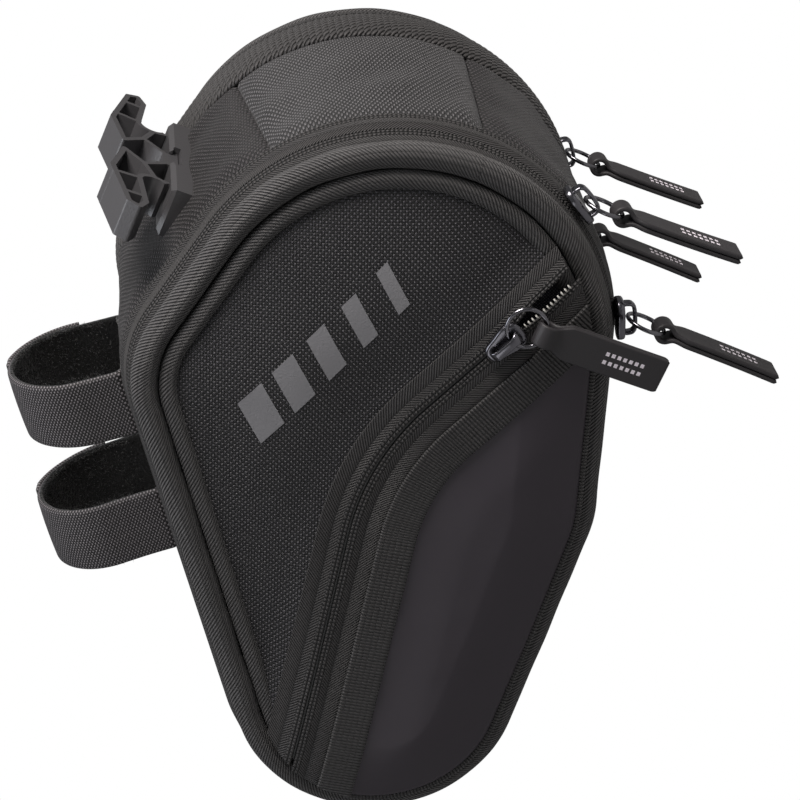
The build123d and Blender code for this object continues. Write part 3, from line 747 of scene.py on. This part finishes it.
WARP = np.array([math.cos(math.radians(-69.0)), math.sin(math.radians(-69.0))])
WEFT = np.array([-WARP[1], WARP[0]])


def woven_uv(flat):
    """Cloth axes that run across and down the lid as its thread does."""
    return np.stack([flat @ WARP, flat @ WEFT], -1)


def face_depth(flat):
    """The ballistic face: the lid's dome with a slow wander where it isn't held by its edges."""
    middle = ease((inside(flat) - 16.0) / 12.0) * ease((-LINE.under(flat) - 3.0) / 12.0)
    return front_height(flat) + 0.35 * ripple(flat[..., 0], flat[..., 1], 31, 38.0) * middle


def face_front():
    """Ballistic cloth above the pocket line, between the inner roll and the zip's upper tape."""
    left, right = LINE.span(FACE_UNDER, FACE_OFF)
    share = spaced(1.0, 150, 0.01)
    low = LINE.at(left + (right - left) * share, FACE_UNDER)
    start, end = (nearest_run(point, FACE_OFF) for point in (low[0], low[-1]))
    run = start - np.mod(start - end, ROUND) * share
    high = ring(run, FACE_OFF, 0.0)[..., [0, 2]]
    rise = spaced(1.0, 70, 0.02)[None, :, None]
    flat = low[:, None] * (1 - rise) + high[:, None] * rise
    piece = cloth("front_face", lid_points("front", flat, face_depth(flat)), woven_uv(flat), 1.2, [BALLISTIC])
    place(piece, "front_lid", ["front_face"])


def face_back():
    """Ballistic cloth over the whole back lid: a quarter sine up from its edge, with a slow wander."""
    flat = disc(-FACE_OFF, 34, (0.95, 0.985, 1.0))
    deep = inside(flat)
    depth = 12.2 + 3.9 * np.sin(0.5 * math.pi * np.clip((deep + FACE_OFF) / 30.0, 0, 1))
    depth = depth + 0.35 * ripple(flat[..., 0], flat[..., 1], 37, 40.0) * ease((deep - 16) / 12.0)
    piece = cloth("back_face", lid_points("back", flat, depth), woven_uv(flat), 1.2, [BALLISTIC], closed=True)
    place(piece, "back_lid", ["back_face"])


face_front()
face_back()


def inner_roll(side):
    """Second, thinner roll. On the front it stops where it runs under the pocket's zip."""
    sign = -1.0 if side == "front" else 1.0
    run = np.linspace(0, ROUND, 901)
    if side == "front":
        point, normal = on_outline(run)
        above = LINE.under(point - 13.6 * normal) < 3.0
        start = int(np.nonzero(above & ~np.roll(above, 1))[0][0])
        order = np.roll(np.arange(len(run) - 1), -start)
        kept = [i for i in order if above[i]]
        run = np.unwrap(run[kept] * 2 * math.pi / ROUND) * ROUND / (2 * math.pi)
    path = ring(run, INNER_ROLL_OFF, sign * (SEAM + INNER_ROLL_DEPTH))
    if side == "back":
        path = path[:-1]
    up = np.array([0.0, sign, 0.0])
    piece = tube(side + "_inner_roll", path, 2.6, 2.7, up, [RIM], around=18, closed=side == "back")
    place(piece, side + "_lid", [side + "_inner_roll"])


def lid_lining(side, stands):
    """Lining and backing of a lid, seen when it stands open."""
    flat = disc(5.2, 24, (0.96, 1.0))
    deep = inside(flat)
    wander = 0.5 * ripple(flat[..., 0], flat[..., 1], 41, 34.0) * ease((deep - 8) / 8)
    depth = 9.6 - 1.6 * ease((deep - 6) / 6.0) + wander
    grid = lid_points(side, flat, depth)
    piece = cloth(side + "_lid_lining", grid, woven_uv(flat), 1.4, [LINING], closed=True)
    place(piece, side + "_lid", stands)


def divider():
    """Padded divider in the middle of the bag."""
    flat = disc(4.7, 24, (0.96, 1.0))
    y = 0.5 * ripple(flat[..., 0], flat[..., 1], 43, 45.0) * ease((inside(flat) - 6) / 14)
    grid = np.stack([flat[..., 0], y, flat[..., 1]], -1)
    piece = cloth("divider_panel", grid, woven_uv(flat), 1.9, [LINING], closed=True)
    place(piece, "bag", ["divider_panel"])


inner_roll("front")
inner_roll("back")
lid_lining("front", ["front_lid_backing", "pocket_backing"])
lid_lining("back", ["back_lid_backing"])
divider()


# ------------------------------------------------------------------ pocket
# Along the pocket's line: where the slider's tail stands.
SLIDER_TAIL = LINE.arc + 45.0 - LINE.cut
TOOTH_PITCH = 1.27
# The coated panel's upper edge under the line, and its lower edge in from the outline.
PANEL_UNDER, PANEL_OFF = 17.6, -9.4


def zip_open(along):
    """Share of the full parting at a distance along the pocket's zip: shut up to the slider, then open."""
    return ease((along - SLIDER_TAIL - 4.0) / 15.0)


def line_strip(name, under_low, under_high, lift, thick, off, material, parting=(0.0, 0.0)):
    """Strip along the pocket's line, lying lift above the lid's cloth and ending under the rim. parting is
    how far its low and high edges stand back at the zip's open end. v is measured from the coil."""
    width = under_high - under_low
    from_low = spaced(width, 8, thick / 2)
    under = under_low + from_low
    limits = np.array([LINE.span(u, off) for u in under])
    left, right = limits[None, :, 0], limits[None, :, 1]
    along = left + (right - left) * spaced(1.0, 170, 0.004)[:, None]
    rank = (from_low / width)[None]
    back = zip_open(along) * (parting[0] * (1 - rank) + parting[1] * rank)
    flat = LINE.at(along, under[None] + back)
    first_v = -width if under_low < 0 else 0.0
    uv = np.stack(np.broadcast_arrays(along, first_v + from_low[None]), -1)
    piece = cloth(name, lid_points("front", flat, front_height(flat) + lift), uv, thick, [material])
    place(piece, "front_lid", [name])


line_strip("pocket_upper_tape", -8.5, -0.35, 0.75, 0.8, -10.5, ZIP_TAPE, (0.0, -1.9))
line_strip("pocket_lower_tape", 0.35, 9.0, 0.75, 0.8, -9.8, ZIP_TAPE, (1.3, 0.0))
line_strip("pocket_binding", 8.6, 18.8, 1.5, 1.1, -9.8, GROSGRAIN)


def pocket_panel():
    """Coated front panel of the pocket: from under the binding to the rim, bellied in its middle. Gives
    back where its lower edge starts on the outline and how long it is."""
    left, right = LINE.span(PANEL_UNDER, -9.0)
    share = spaced(1.0, 170, 0.006)
    top = LINE.at(left + (right - left) * share, PANEL_UNDER)
    start, end = (nearest_run(point, PANEL_OFF) for point in (top[0], top[-1]))
    length = np.mod(end - start, ROUND)
    low = ring(start + length * share, PANEL_OFF, 0.0)[..., [0, 2]]
    fall = spaced(1.0, 60, 0.03)[None, :, None]
    flat = top[:, None] * (1 - fall) + low[:, None] * fall
    deep = inside(flat)
    belly = 1.6 * ease((deep - 12.0) / 18.0) * ease((LINE.under(flat) - 18.0) / 16.0)
    wander = 0.3 * ripple(flat[..., 0], flat[..., 1], 53, 32.0) * ease((deep - 10.0) / 8.0)
    turned_in = 1.5 * (1 - ease((deep - 9.2) / 2.4))
    depth = front_height(flat) + 0.9 + belly + wander - turned_in
    piece = cloth("pocket_panel", lid_points("front", flat, depth), woven_uv(flat), 0.9, [COATED])
    place(piece, "front_lid", ["pocket_panel"])
    return start, length


def pocket_wall(start, length):
    """Ribbed side wall of the pocket, from the panel's edge down behind the rim roll, and its piping."""
    run = start + length * np.linspace(0.0, 1.0, 420)[:, None]
    edge = ring(run[:, 0], PANEL_OFF, 0.0)[..., [0, 2]]
    top = front_height(edge)[:, None] - 0.4
    down = np.linspace(0, 1, 10)[None]
    depth = top * (1 - down) + 11.0 * down
    off = -9.6 - 0.9 * down + 0.7 * np.sin(math.pi * down)
    uv = np.stack(np.broadcast_arrays(run, depth), -1)
    piece = cloth("pocket_wall", ring(run, off, -(SEAM + depth)), uv, 1.0, [BAND])
    place(piece, "front_lid", ["pocket_wall"])
    path = ring(run[:, 0], -9.3, -(SEAM + front_height(edge) + 0.1))
    piping = tube("pocket_piping", path, 1.0, 1.0, (0.0, -1.0, 0.0), [GROSGRAIN], around=10)
    place(piping, "front_lid")


def coil_teeth():
    """The closed coil as a ribbed cord under the tapes, and separate teeth where the zip stands open. A
    tooth is a ring of wire, an ellipse square to the zip."""
    left, right = LINE.span(0.0, -13.0)
    along = np.linspace(left, SLIDER_TAIL, 500)
    flat = LINE.at(along, 0.0)
    path = lid_points("front", flat, front_height(flat) + 0.15)
    width = 0.75 + 0.15 * np.sin(along * 2 * math.pi / TOOTH_PITCH)
    parts = [tube("teeth", path, width, 0.45, (0.0, -1.0, 0.0), [COIL], around=8)]
    turn = np.linspace(0, 2 * math.pi, 13)[:-1, None]
    for at in np.arange(SLIDER_TAIL + 9.0, right, TOOTH_PITCH):
        parted = float(zip_open(at))
        # The row on the upper tape is tucked under it, and the row on the lower tape lies open.
        for shift, under, lift in ((-0.3, -0.5 - 1.9 * parted, -0.3), (0.3, 0.1 + 1.3 * parted, 1.0)):
            centre = LINE.at([at + shift], [under])[0]
            way = LINE.at([at + shift], [under + 0.5])[0] - centre
            way = way / np.linalg.norm(way)
            middle = lid_points("front", centre, front_height(centre[None])[0] + lift)
            across = np.array([way[0], 0.0, way[1]])
            ringlet = middle + 0.5 * np.cos(turn) * across + 0.45 * np.sin(turn) * np.array([0.0, -1.0, 0.0])
            up = (-way[1], 0.0, way[0])
            # The open teeth take the pale copy of the coil's nylon: a painted highlight.
            parts.append(tube("tooth", ringlet, 0.24, 0.24, up, [OPEN_TEETH_PAINTED_HIGHLIGHT], around=6, closed=True))
    place(join("pocket_coil", parts), "front_lid", ["pocket_coil"])


def print_mark():
    """Plain grey screen print where the bag is marked: five slanted bars that shorten along a line."""
    first = np.array([-37.0, -41.0])
    way = np.array([0.925, -0.379])
    side = np.array([-way[1], way[0]])
    spacing, bar_long, shorter, bar_high, lean = 13.0, 9.0, 1.2, 12.5, 4.0
    parts = []
    a, b = np.meshgrid(np.linspace(0, 1, 6), np.linspace(0, 1, 6), indexing="ij")
    a, b = a[..., None], b[..., None]
    for i in range(5):
        flat = first + way * i * spacing + a * way * (bar_long - shorter * i)
        flat = flat + (b - 0.5) * side * bar_high + b * way * lean
        depth = face_depth(flat) + 0.72
        parts.append(surface("bar", lid_points("front", flat, depth), woven_uv(flat), [PRINT]))
    place(join("front_print", parts), "front_lid")


pocket_wall(*pocket_panel())
coil_teeth()
print_mark()


# ------------------------------------------------------------------ seatpost straps
FLANK = math.radians(127.38)
FLANK_OUT = np.array([math.cos(FLANK), math.sin(FLANK)])
FLANK_WAY = np.array([-math.sin(FLANK), math.cos(FLANK)])
FLANK_TOP = CIRCLES[1, :2] + CIRCLES[1, 2] * FLANK_OUT
STRAP_W = 20.0
# How far out the pile follows the band's squeeze and lean in full.
PILE_REACH = 36.0


def flank(along, y, out):
    """Points on the straight front flank: distance down it, height across the bag and distance out."""
    along, y, out = np.broadcast_arrays(along, y, out)
    flat = FLANK_TOP + along[..., None] * FLANK_WAY + out[..., None] * FLANK_OUT
    return np.stack([flat[..., 0], y, flat[..., 1]], -1)


def strap(name, at, reach, squeeze, lean):
    """Hook-and-loop strap: a band that leaves the anchor, goes round and laps over itself.
    Its path is y = r cos(a), out = middle + r sin(a) with flat legs down to the anchor. As it comes out its
    loop widens by a share, squeeze, and shifts along the flank by lean. It is cupped across."""
    inner = 19.0
    middle = reach - inner - 2.2
    radius = inner + 1.1
    bend = np.radians(np.linspace(-2, 182, 90))
    leg = np.linspace(3.0, middle, 11)
    right = np.stack([np.full(10, radius), leg[:-1]], 1)
    floor = np.stack([np.linspace(-radius + 2.5, radius - 2.5, 24), np.full(24, 1.2)], 1)
    arch = np.stack([radius * np.cos(bend), middle + radius * np.sin(bend)], 1)
    left = np.stack([np.full(10, -radius), leg[-2::-1]], 1)
    path = np.concatenate([right, arch, left, floor, right[:1]])
    run = np.r_[0, np.cumsum(np.linalg.norm(np.diff(path, axis=0), axis=1))]
    steps = np.linspace(0, run[-1], 260)
    path = np.stack([np.interp(steps, run, path[:, i]) for i in (0, 1)], 1)
    steps = steps[:, None]
    height = np.clip((path[:, 1:] - 3.0) / (reach - 3.0), 0, 1)
    across = (spaced(STRAP_W, 16, 1.0) - STRAP_W / 2)[None]
    tilt = lean * ease(height) + 0.6 * ripple(steps, 0.0, 61, 50.0) * ease(height * 2)
    cup = 0.5 * (across / 10.0) ** 2
    y = path[:, :1] * (1 + squeeze * ease(height))
    grid = flank(at + across + tilt, y, path[:, 1:] - cup * ease(height) * 0.6)
    uv = np.stack(np.broadcast_arrays(steps, across), -1)
    band = cloth("strap_" + name, grid, uv, 2.1, [PILE, WEBBING], closed=True, edge=0.9, back_material=1)
    place(band, "bag", ["strap_" + name])
    lap = np.radians(np.linspace(0, 76, 60))[:, None]
    over = radius + 2.0
    tab_out = middle + over * np.sin(lap)
    share = ease(tab_out / reach)
    y = over * np.cos(lap) * (1 + squeeze * share)
    tip = np.interp(lap, [0, lap[-1, 0] - 0.12, lap[-1, 0]], [1.0, 1.0, 0.9])
    grid = flank(at + across * tip * 0.99 + lean * share, y, tab_out - cup * share * 0.6)
    uv = np.stack(np.broadcast_arrays(lap * over, across), -1)
    tab = cloth("strap_tab_" + name, grid, uv, 1.6, [WEBBING, PILE], edge=0.8)
    place(tab, "bag", ["strap_tab_" + name])
    strap_pile(name, at, middle, inner, squeeze, lean)


def strap_pile(name, at, middle, inner, squeeze, lean):
    """Fuzz of the loop side: short curled hairs scattered over the inside and the edges of the band. A hair
    is two quads whose three pairs of points drift sideways as they leave the cloth."""
    rng = np.random.default_rng(71)
    count = 5200
    angle = np.radians(rng.uniform(-25, 205, count))
    at_edge = rng.random(count) < 0.4
    which_edge = np.sign(rng.random(count) - 0.5)
    near_edge = which_edge * rng.uniform(8.8, 10.0, count)
    across = np.where(at_edge, near_edge, rng.uniform(-9.8, 9.8, count))
    radius = inner + 0.15
    y = radius * np.cos(angle)
    out = middle + radius * np.sin(angle)
    hair = rng.uniform(0.5, 1.3, count)
    toward = np.stack([-np.cos(angle), -np.sin(angle)], 1) + rng.normal(0, 0.45, (count, 2))
    sideways = rng.normal(0, 0.55, count) + 0.5 * np.sign(across) * (np.abs(across) > 8.7)
    width = 0.11
    points = []
    for share in (0.0, 0.5, 1.0):
        drift = rng.normal(0, 0.25, (count, 2)) * share
        hair_y = y + hair * share * toward[:, 0] + drift[:, 0]
        hair_out = out + hair * share * toward[:, 1] + drift[:, 1]
        hair_across = across + hair * share * sideways
        rise = ease(hair_out / PILE_REACH)
        for side in (-1, 1):
            along = at + hair_across + lean * rise + side * width * (1.2 - share)
            points.append(flank(along, hair_y * (1 + squeeze * rise), np.maximum(hair_out, 2.4)))
    stack = np.stack(points, 1).reshape(-1, 3)
    base = np.arange(count)[:, None] * 6
    quads = np.concatenate([base + np.array([[0, 1, 3, 2]]), base + np.array([[2, 3, 5, 4]])])
    no_uv = np.zeros((len(stack), 2))
    pile = new_mesh("strap_pile_" + name, stack, quads.tolist(), no_uv, [PILE], weld=1e-6)
    place(pile, "bag")


def strap_anchor(name, at):
    """Patch of webbing sewn to the flank under the strap, with two rows of stitches."""
    across = (spaced(54.0, 20, 1.0) - 27.0)[None]
    along = spaced(26.0, 12, 1.0)[:, None] - 13.0
    lift = -1.3 + 0.35 * ripple(along, across, 73, 22.0) * ease((27 - np.abs(across)) / 5)
    uv = np.stack(np.broadcast_arrays(across, along), -1)
    patch = cloth("strap_anchor_" + name, flank(at + along, across, lift), uv, 2.0, [WEBBING])
    place(patch, "bag", ["strap_anchor_" + name])
    up = (FLANK_OUT[0], 0.0, FLANK_OUT[1])
    stitches = []
    for y in np.arange(-22.0, 22.1, 2.4):
        for edge in (-9.0, 9.0):
            path = flank(at + edge, y + np.array([-0.8, 0, 0.8]), np.array([-0.35, -0.1, -0.35]))
            stitches.append(tube("stitch", path, 0.28, 0.25, up, [GROSGRAIN], around=6))
    place(join("anchor_stitches_" + name, stitches), "bag")


strap_anchor("upper", 13.5)
strap_anchor("lower", 52.0)
strap("upper", 13.5, 36.0, 0.02, -1.0)
strap("lower", 52.0, 40.0, -0.02, 1.5)


# ------------------------------------------------------------------ sliders, rings and pulls
SLIDER_T, RING_R, WIRE_R = 2.2, 5.4, 0.6
WIRE_HEIGHT = SLIDER_T + 0.35 + WIRE_R * math.sqrt(2)
BRIDGE_LOW = WIRE_HEIGHT + 0.35 + WIRE_R * math.sqrt(2)


class Stand:
    """Axes of a slider: origin on the zip, travel along it, out of the tape, and wire square to both."""

    def __init__(self, origin, travel, out):
        self.origin = np.array(origin, float)
        self.travel = np.array(travel, float)
        self.out = np.array(out, float)
        self.wire = np.cross(self.out, self.travel)

    def put(self, local):
        """Points given along travel, wire and out, in the bag's own frame."""
        local = np.asarray(local, float)
        along, side, out = local[..., :1], local[..., 1:2], local[..., 2:3]
        return self.origin + along * self.travel + side * self.wire + out * self.out


def smoothed(line, times):
    """A line of points whose inner ones are averaged with their neighbours, 1 : 2 : 1, so many times."""
    for _ in range(times):
        line[1:-1] = (line[:-2] + 2 * line[1:-1] + line[2:]) / 4
    return line


# Height of each ring of the slider's plate over the tape, and its share of the full outline.
PLATE_RINGS = ((0.0, 0.9), (0.15, 0.97), (0.5, 1.0), (1.3, 1.0), (1.85, 0.97), (2.12, 0.9), (SLIDER_T, 0.8))
PLATE_CROWN = (0.55, 0.0)


def slider(name, stand):
    """Cast slider: a waisted plate with rolled flanges, and an arched bridge that holds the ring.
    Half width is 4.25 at the wide end and narrows to 3.1 towards the tail."""
    turn = np.linspace(0, 2 * math.pi, 65)
    c, s = np.cos(turn), np.sin(turn)
    x = 6.0 * np.sign(c) * np.abs(c) ** 0.7
    half = 3.65 + 0.6 * np.tanh(x / 2.2)
    y = half * np.sign(s) * np.abs(s) ** 0.62
    rings = [np.zeros((len(turn), 3))]
    for height, grow in PLATE_RINGS:
        rings.append(np.stack([x * (1 - (1 - grow) * 0.7), y * grow, np.full_like(x, height)], -1))
    for grow in PLATE_CROWN:
        rings.append(np.stack([x * grow, y * grow, np.full_like(x, SLIDER_T + 0.12 * (1 - grow))], -1))
    grid = stand.put(np.stack(rings))
    parts = [surface("plate", grid, np.zeros(grid.shape[:2] + (2,)), [GUNMETAL])]
    lift = BRIDGE_LOW + 0.55
    rise = [(4.1, 1.6), (4.3, 2.9), (4.15, lift - 0.9), (3.3, lift - 0.1), (1.6, lift + 0.12)]
    fall = [(-x, z) for x, z in reversed(rise)]
    knots = np.array(rise + [(0, lift + 0.15)] + fall)
    fine = np.linspace(0, len(knots) - 1, 60)
    path = np.stack([np.interp(fine, np.arange(len(knots)), knots[:, i]) for i in (0, 1)], 1)
    path = smoothed(path, 3)
    bar = stand.put(np.stack([path[:, 0], 0 * path[:, 0], path[:, 1]], -1))
    widen = 1.0 + 0.35 * ease((np.abs(path[:, 0]) - 2.0) / 2.3)
    parts.append(tube("bridge", bar, 0.55, 1.2 * widen, stand.wire, [GUNMETAL], around=16, power=3.0))
    place(join("slider_" + name, parts), "slider_" + name, ["slider_" + name])


def wire_ring(name, centre, first, second):
    """Round wire ring in the plane of two directions, closed by a butt joint."""
    turn = np.linspace(0, 2 * math.pi, 73)[:-1, None]
    path = centre + RING_R * (np.cos(turn) * first + np.sin(turn) * second)
    axis = np.cross(first, second)
    piece = tube("ring_" + name, path, WIRE_R, WIRE_R, axis, [WIRE], around=14, closed=True)
    place(piece, "ring_" + name, ["ring_" + name])


def pull(name, eye, across, curl):
    """Moulded pull: one strap folded round the ring, both halves lying together, a little slimmer at
    the ring than at the tail. u runs down it. It hangs straight down and curls slightly off its plane."""
    down = np.array([0.0, 0.0, -1.0])
    off_plane = np.cross(across, down)
    length = np.linspace(34.6, 3.2, 60)
    loop = np.radians(np.linspace(-60, 240, 30))
    bow = curl * (length / 35.0) ** 2
    front = np.stack([0.72 + bow, length], 1)
    round_eye = np.stack([2.45 * np.cos(loop), -2.45 * np.sin(loop)], 1)
    back = np.stack([-0.72 + bow[::-1], length[::-1]], 1)
    line = np.concatenate([front, round_eye, back])
    run = np.r_[0, np.cumsum(np.linalg.norm(np.diff(line, axis=0), axis=1))]
    steps = np.linspace(0, run[-1], 170)
    line = smoothed(np.stack([np.interp(steps, run, line[:, i]) for i in (0, 1)], 1), 4)
    bowed, along = line[:, :1], line[:, 1:2]
    rounded_end = 1 - 0.45 * np.clip((along - 33.0) / 2.4, 0, 1) ** 2
    half = (3.2 + 1.75 * ease((along - 1.5) / 5.5)) * np.sqrt(rounded_end)
    width = half * (spaced(2.0, 12, 0.12) - 1.0)[None]
    grid = eye + bowed[..., None] * off_plane + width[..., None] * across + along[..., None] * down
    uv = np.stack(np.broadcast_arrays(along, width), -1)
    piece = cloth("pull_" + name, grid, uv, 1.3, [RUBBER], edge=0.5)
    place(piece, "pull_" + name, ["pull_" + name])


def slider_set(name, origin, travel, out, ring_hang, eye_turn, ring_shift=0.0, curl=0.8):
    """One slider, its ring and its pull, standing where the zip carries them. eye_turn is how far round
    the ring the pull hangs, and ring_shift how far along the bridge the ring stands."""
    stand = Stand(origin, travel, out)
    slider(name, stand)
    hang = np.array(ring_hang, float)
    wire_at = stand.origin + stand.out * WIRE_HEIGHT + stand.travel * ring_shift
    centre = wire_at + hang * RING_R
    wire_ring(name, centre, hang, stand.wire)
    eye_dir = hang * math.cos(eye_turn) + stand.wire * math.sin(eye_turn)
    across = stand.wire * math.cos(eye_turn) - hang * math.sin(eye_turn)
    pull(name, centre + eye_dir * RING_R, across, curl)


def rear_slider(name, y, degrees, curl, back=0.0):
    """A main zip's slider on the rear circle at an angle, moved back along its travel."""
    c, s = math.cos(math.radians(degrees)), math.sin(math.radians(degrees))
    radius = REAR_R - 1.5
    x = CIRCLES[0, 0] + radius * c + back * s
    z = CIRCLES[0, 1] + radius * s - back * c
    slider_set(name, (x, y, z), (-s, 0.0, c), (c, 0.0, s), (0.0, 0.0, -1.0), 0.0, curl=curl)


rear_slider("front_upper", -52.0, -30.0, 0.9)
rear_slider("front_lower", -52.0, -63.0, -0.8)
rear_slider("back_upper", 52.0, -54.0, 0.7)
# This one stands where the straight stretch of the belly begins.
rear_slider("back_lower", 52.0, -70.33, -0.7, back=5.0)

# The pocket's slider stands on top of its tape, 50 past the corner of the line, and its ring lies along the
# zip with the pull hanging from the ring's lowest point.
fall = math.atan2(LINE.way_b[1], LINE.way_b[0])
stand_at = POCKET_CORNER + 50.0 * LINE.way_b
tape_top = SEAM + 19.0 + 1.2 + 0.8
along_b = (LINE.way_b[0], 0.0, LINE.way_b[1])
slider_set("pocket", (stand_at[0], -tape_top, stand_at[1]), along_b, (0.0, -1.0, 0.0), along_b,
           math.radians(-90.0) - fall, ring_shift=2.0, curl=0.9)


# ------------------------------------------------------------------ clip, shoe and inside hardware
def hard_piece(node, material, width):
    """A hard CAD piece keeps its own shape, with its edges broken and its real finish."""
    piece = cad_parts[node]
    piece.data.materials.clear()
    piece.data.materials.append(material)
    bevel = piece.modifiers.new("edges", "BEVEL")
    bevel.width = width * MM
    bevel.segments = 3
    bevel.limit_method = "ANGLE"
    bevel.angle_limit = math.radians(35.0)


hard_piece("rail_clip", CLIP_PLASTIC, 0.3)
hard_piece("clip_shoe", CLIP_PLASTIC, 0.35)
hard_piece("shoe_backing", CLIP_PLASTIC, 0.3)
hard_piece("shoe_screws", STEEL, 0.15)


# ------------------------------------------------------------------ cloth hinges
def hinge_web(side):
    """Strip of cloth inside each zip's ends, round the nose, on which the lid turns."""
    sign = -1.0 if side == "front" else 1.0
    middle = run_at_hub(205.0)
    run = middle + np.linspace(-26, 26, 90)[:, None]
    across = spaced(11.0, 14, 0.5)
    y = sign * (SEAM - 1.0 + across)[None]
    off = -5.0 - 0.5 * np.sin(math.pi * across / 11.0)[None]
    grid = ring(run, off + 0 * run, y + 0 * run)
    uv = np.stack(np.broadcast_arrays(run, across[None]), -1)
    web = cloth("hinge_web_" + side, grid, uv, 0.7, [GROSGRAIN])
    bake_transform(web)


hinge_web("front")
hinge_web("back")


# ------------------------------------------------------------------ camera, light and floor
def camera():
    """Looks at the front lid from behind and a little above, with the bag's rear towards the top."""
    right = Vector((0.39086, -0.08912, -0.91613))
    up = Vector((0.84075, 0.43968, 0.31593))
    back = Vector((0.37465, -0.89372, 0.24678))
    lens = bpy.data.cameras.new("camera")
    lens.lens = 120.54
    lens.sensor_width = 36.0
    lens.shift_x = 0.01875
    lens.shift_y = 0.0625
    made = bpy.data.objects.new("camera", lens)
    turn = Matrix((right, up, back)).transposed().to_4x4()
    made.matrix_world = Matrix.Translation((0.24138, -0.71124, 0.09945)) @ turn
    bpy.context.scene.collection.objects.link(made)
    bpy.context.scene.camera = made
    return right, up, back


def softbox(name, place_at, aim, size, power, tone="ffffff"):
    """A rectangular soft light at a place, turned to its aim."""
    light = bpy.data.lights.new(name, "AREA")
    light.shape = "RECTANGLE"
    light.size, light.size_y = size
    light.energy = power
    light.color = linear(tone)[:3]
    made = bpy.data.objects.new(name, light)
    made.location = place_at
    made.rotation_euler = (Vector(aim) - Vector(place_at)).to_track_quat("-Z", "Y").to_euler()
    bpy.context.scene.collection.objects.link(made)
    made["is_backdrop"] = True


def show_white(nodes, shader, output, kind):
    """The stage is plain white where it is looked at, and lights the object by its own shader."""
    white = nodes.add(kind, Color=linear("ffffff"), Strength=1.0)
    seen = nodes.add("LightPath", out="Is Camera Ray")
    nodes.put(output.inputs["Surface"], nodes.add("MixShader", seen, shader.outputs[0], white))


def studio():
    """Camera, four soft lights, a weak white surround and a wide matt floor 60 mm under the bag."""
    right, up, back = camera()
    middle = Vector((-0.04, -0.01, -0.075))
    softbox("key", middle + up * 0.75 - right * 0.35 + back * 0.55, middle, (0.5, 0.4), 13.0, "fffaf6")
    softbox("side", middle - right * 0.95 + back * 0.25, middle, (0.9, 0.6), 5.0, "f4f8ff")
    softbox("fill", middle + right * 0.75 + up * 0.1 + back * 0.6, middle, (0.6, 0.9), 2.5)
    softbox("low", middle - up * 0.8 + back * 0.5, middle, (0.8, 0.4), 1.2)
    world = bpy.data.worlds.new("studio")
    world.use_nodes = True
    surround = Nodes(world.node_tree)
    glow = surround.tree.nodes["Background"]
    surround.put(glow.inputs["Color"], linear("ffffff"))
    surround.put(glow.inputs["Strength"], 0.16)
    show_white(surround, glow, surround.tree.nodes["World Output"], "Background")
    bpy.context.scene.world = world
    bpy.context.scene.view_settings.view_transform = "Standard"
    floor_at = cad_box[0].z - 0.06
    reach = 6.0
    corners = [(-reach, -reach, floor_at), (reach, -reach, floor_at), (reach, reach, floor_at),
               (-reach, reach, floor_at)]
    mesh = bpy.data.meshes.new("floor")
    mesh.from_pydata(corners, [], [(0, 1, 2, 3)])
    floor = bpy.data.objects.new("floor", mesh)
    bpy.context.scene.collection.objects.link(floor)
    matt = Finish("studio_floor_matt_white", "8a8a8a", 0.9)
    show_white(matt, matt.shader, matt.tree.nodes["Material Output"], "Emission")
    mesh.materials.append(matt.material)
    floor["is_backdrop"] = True


studio()

low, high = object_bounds()
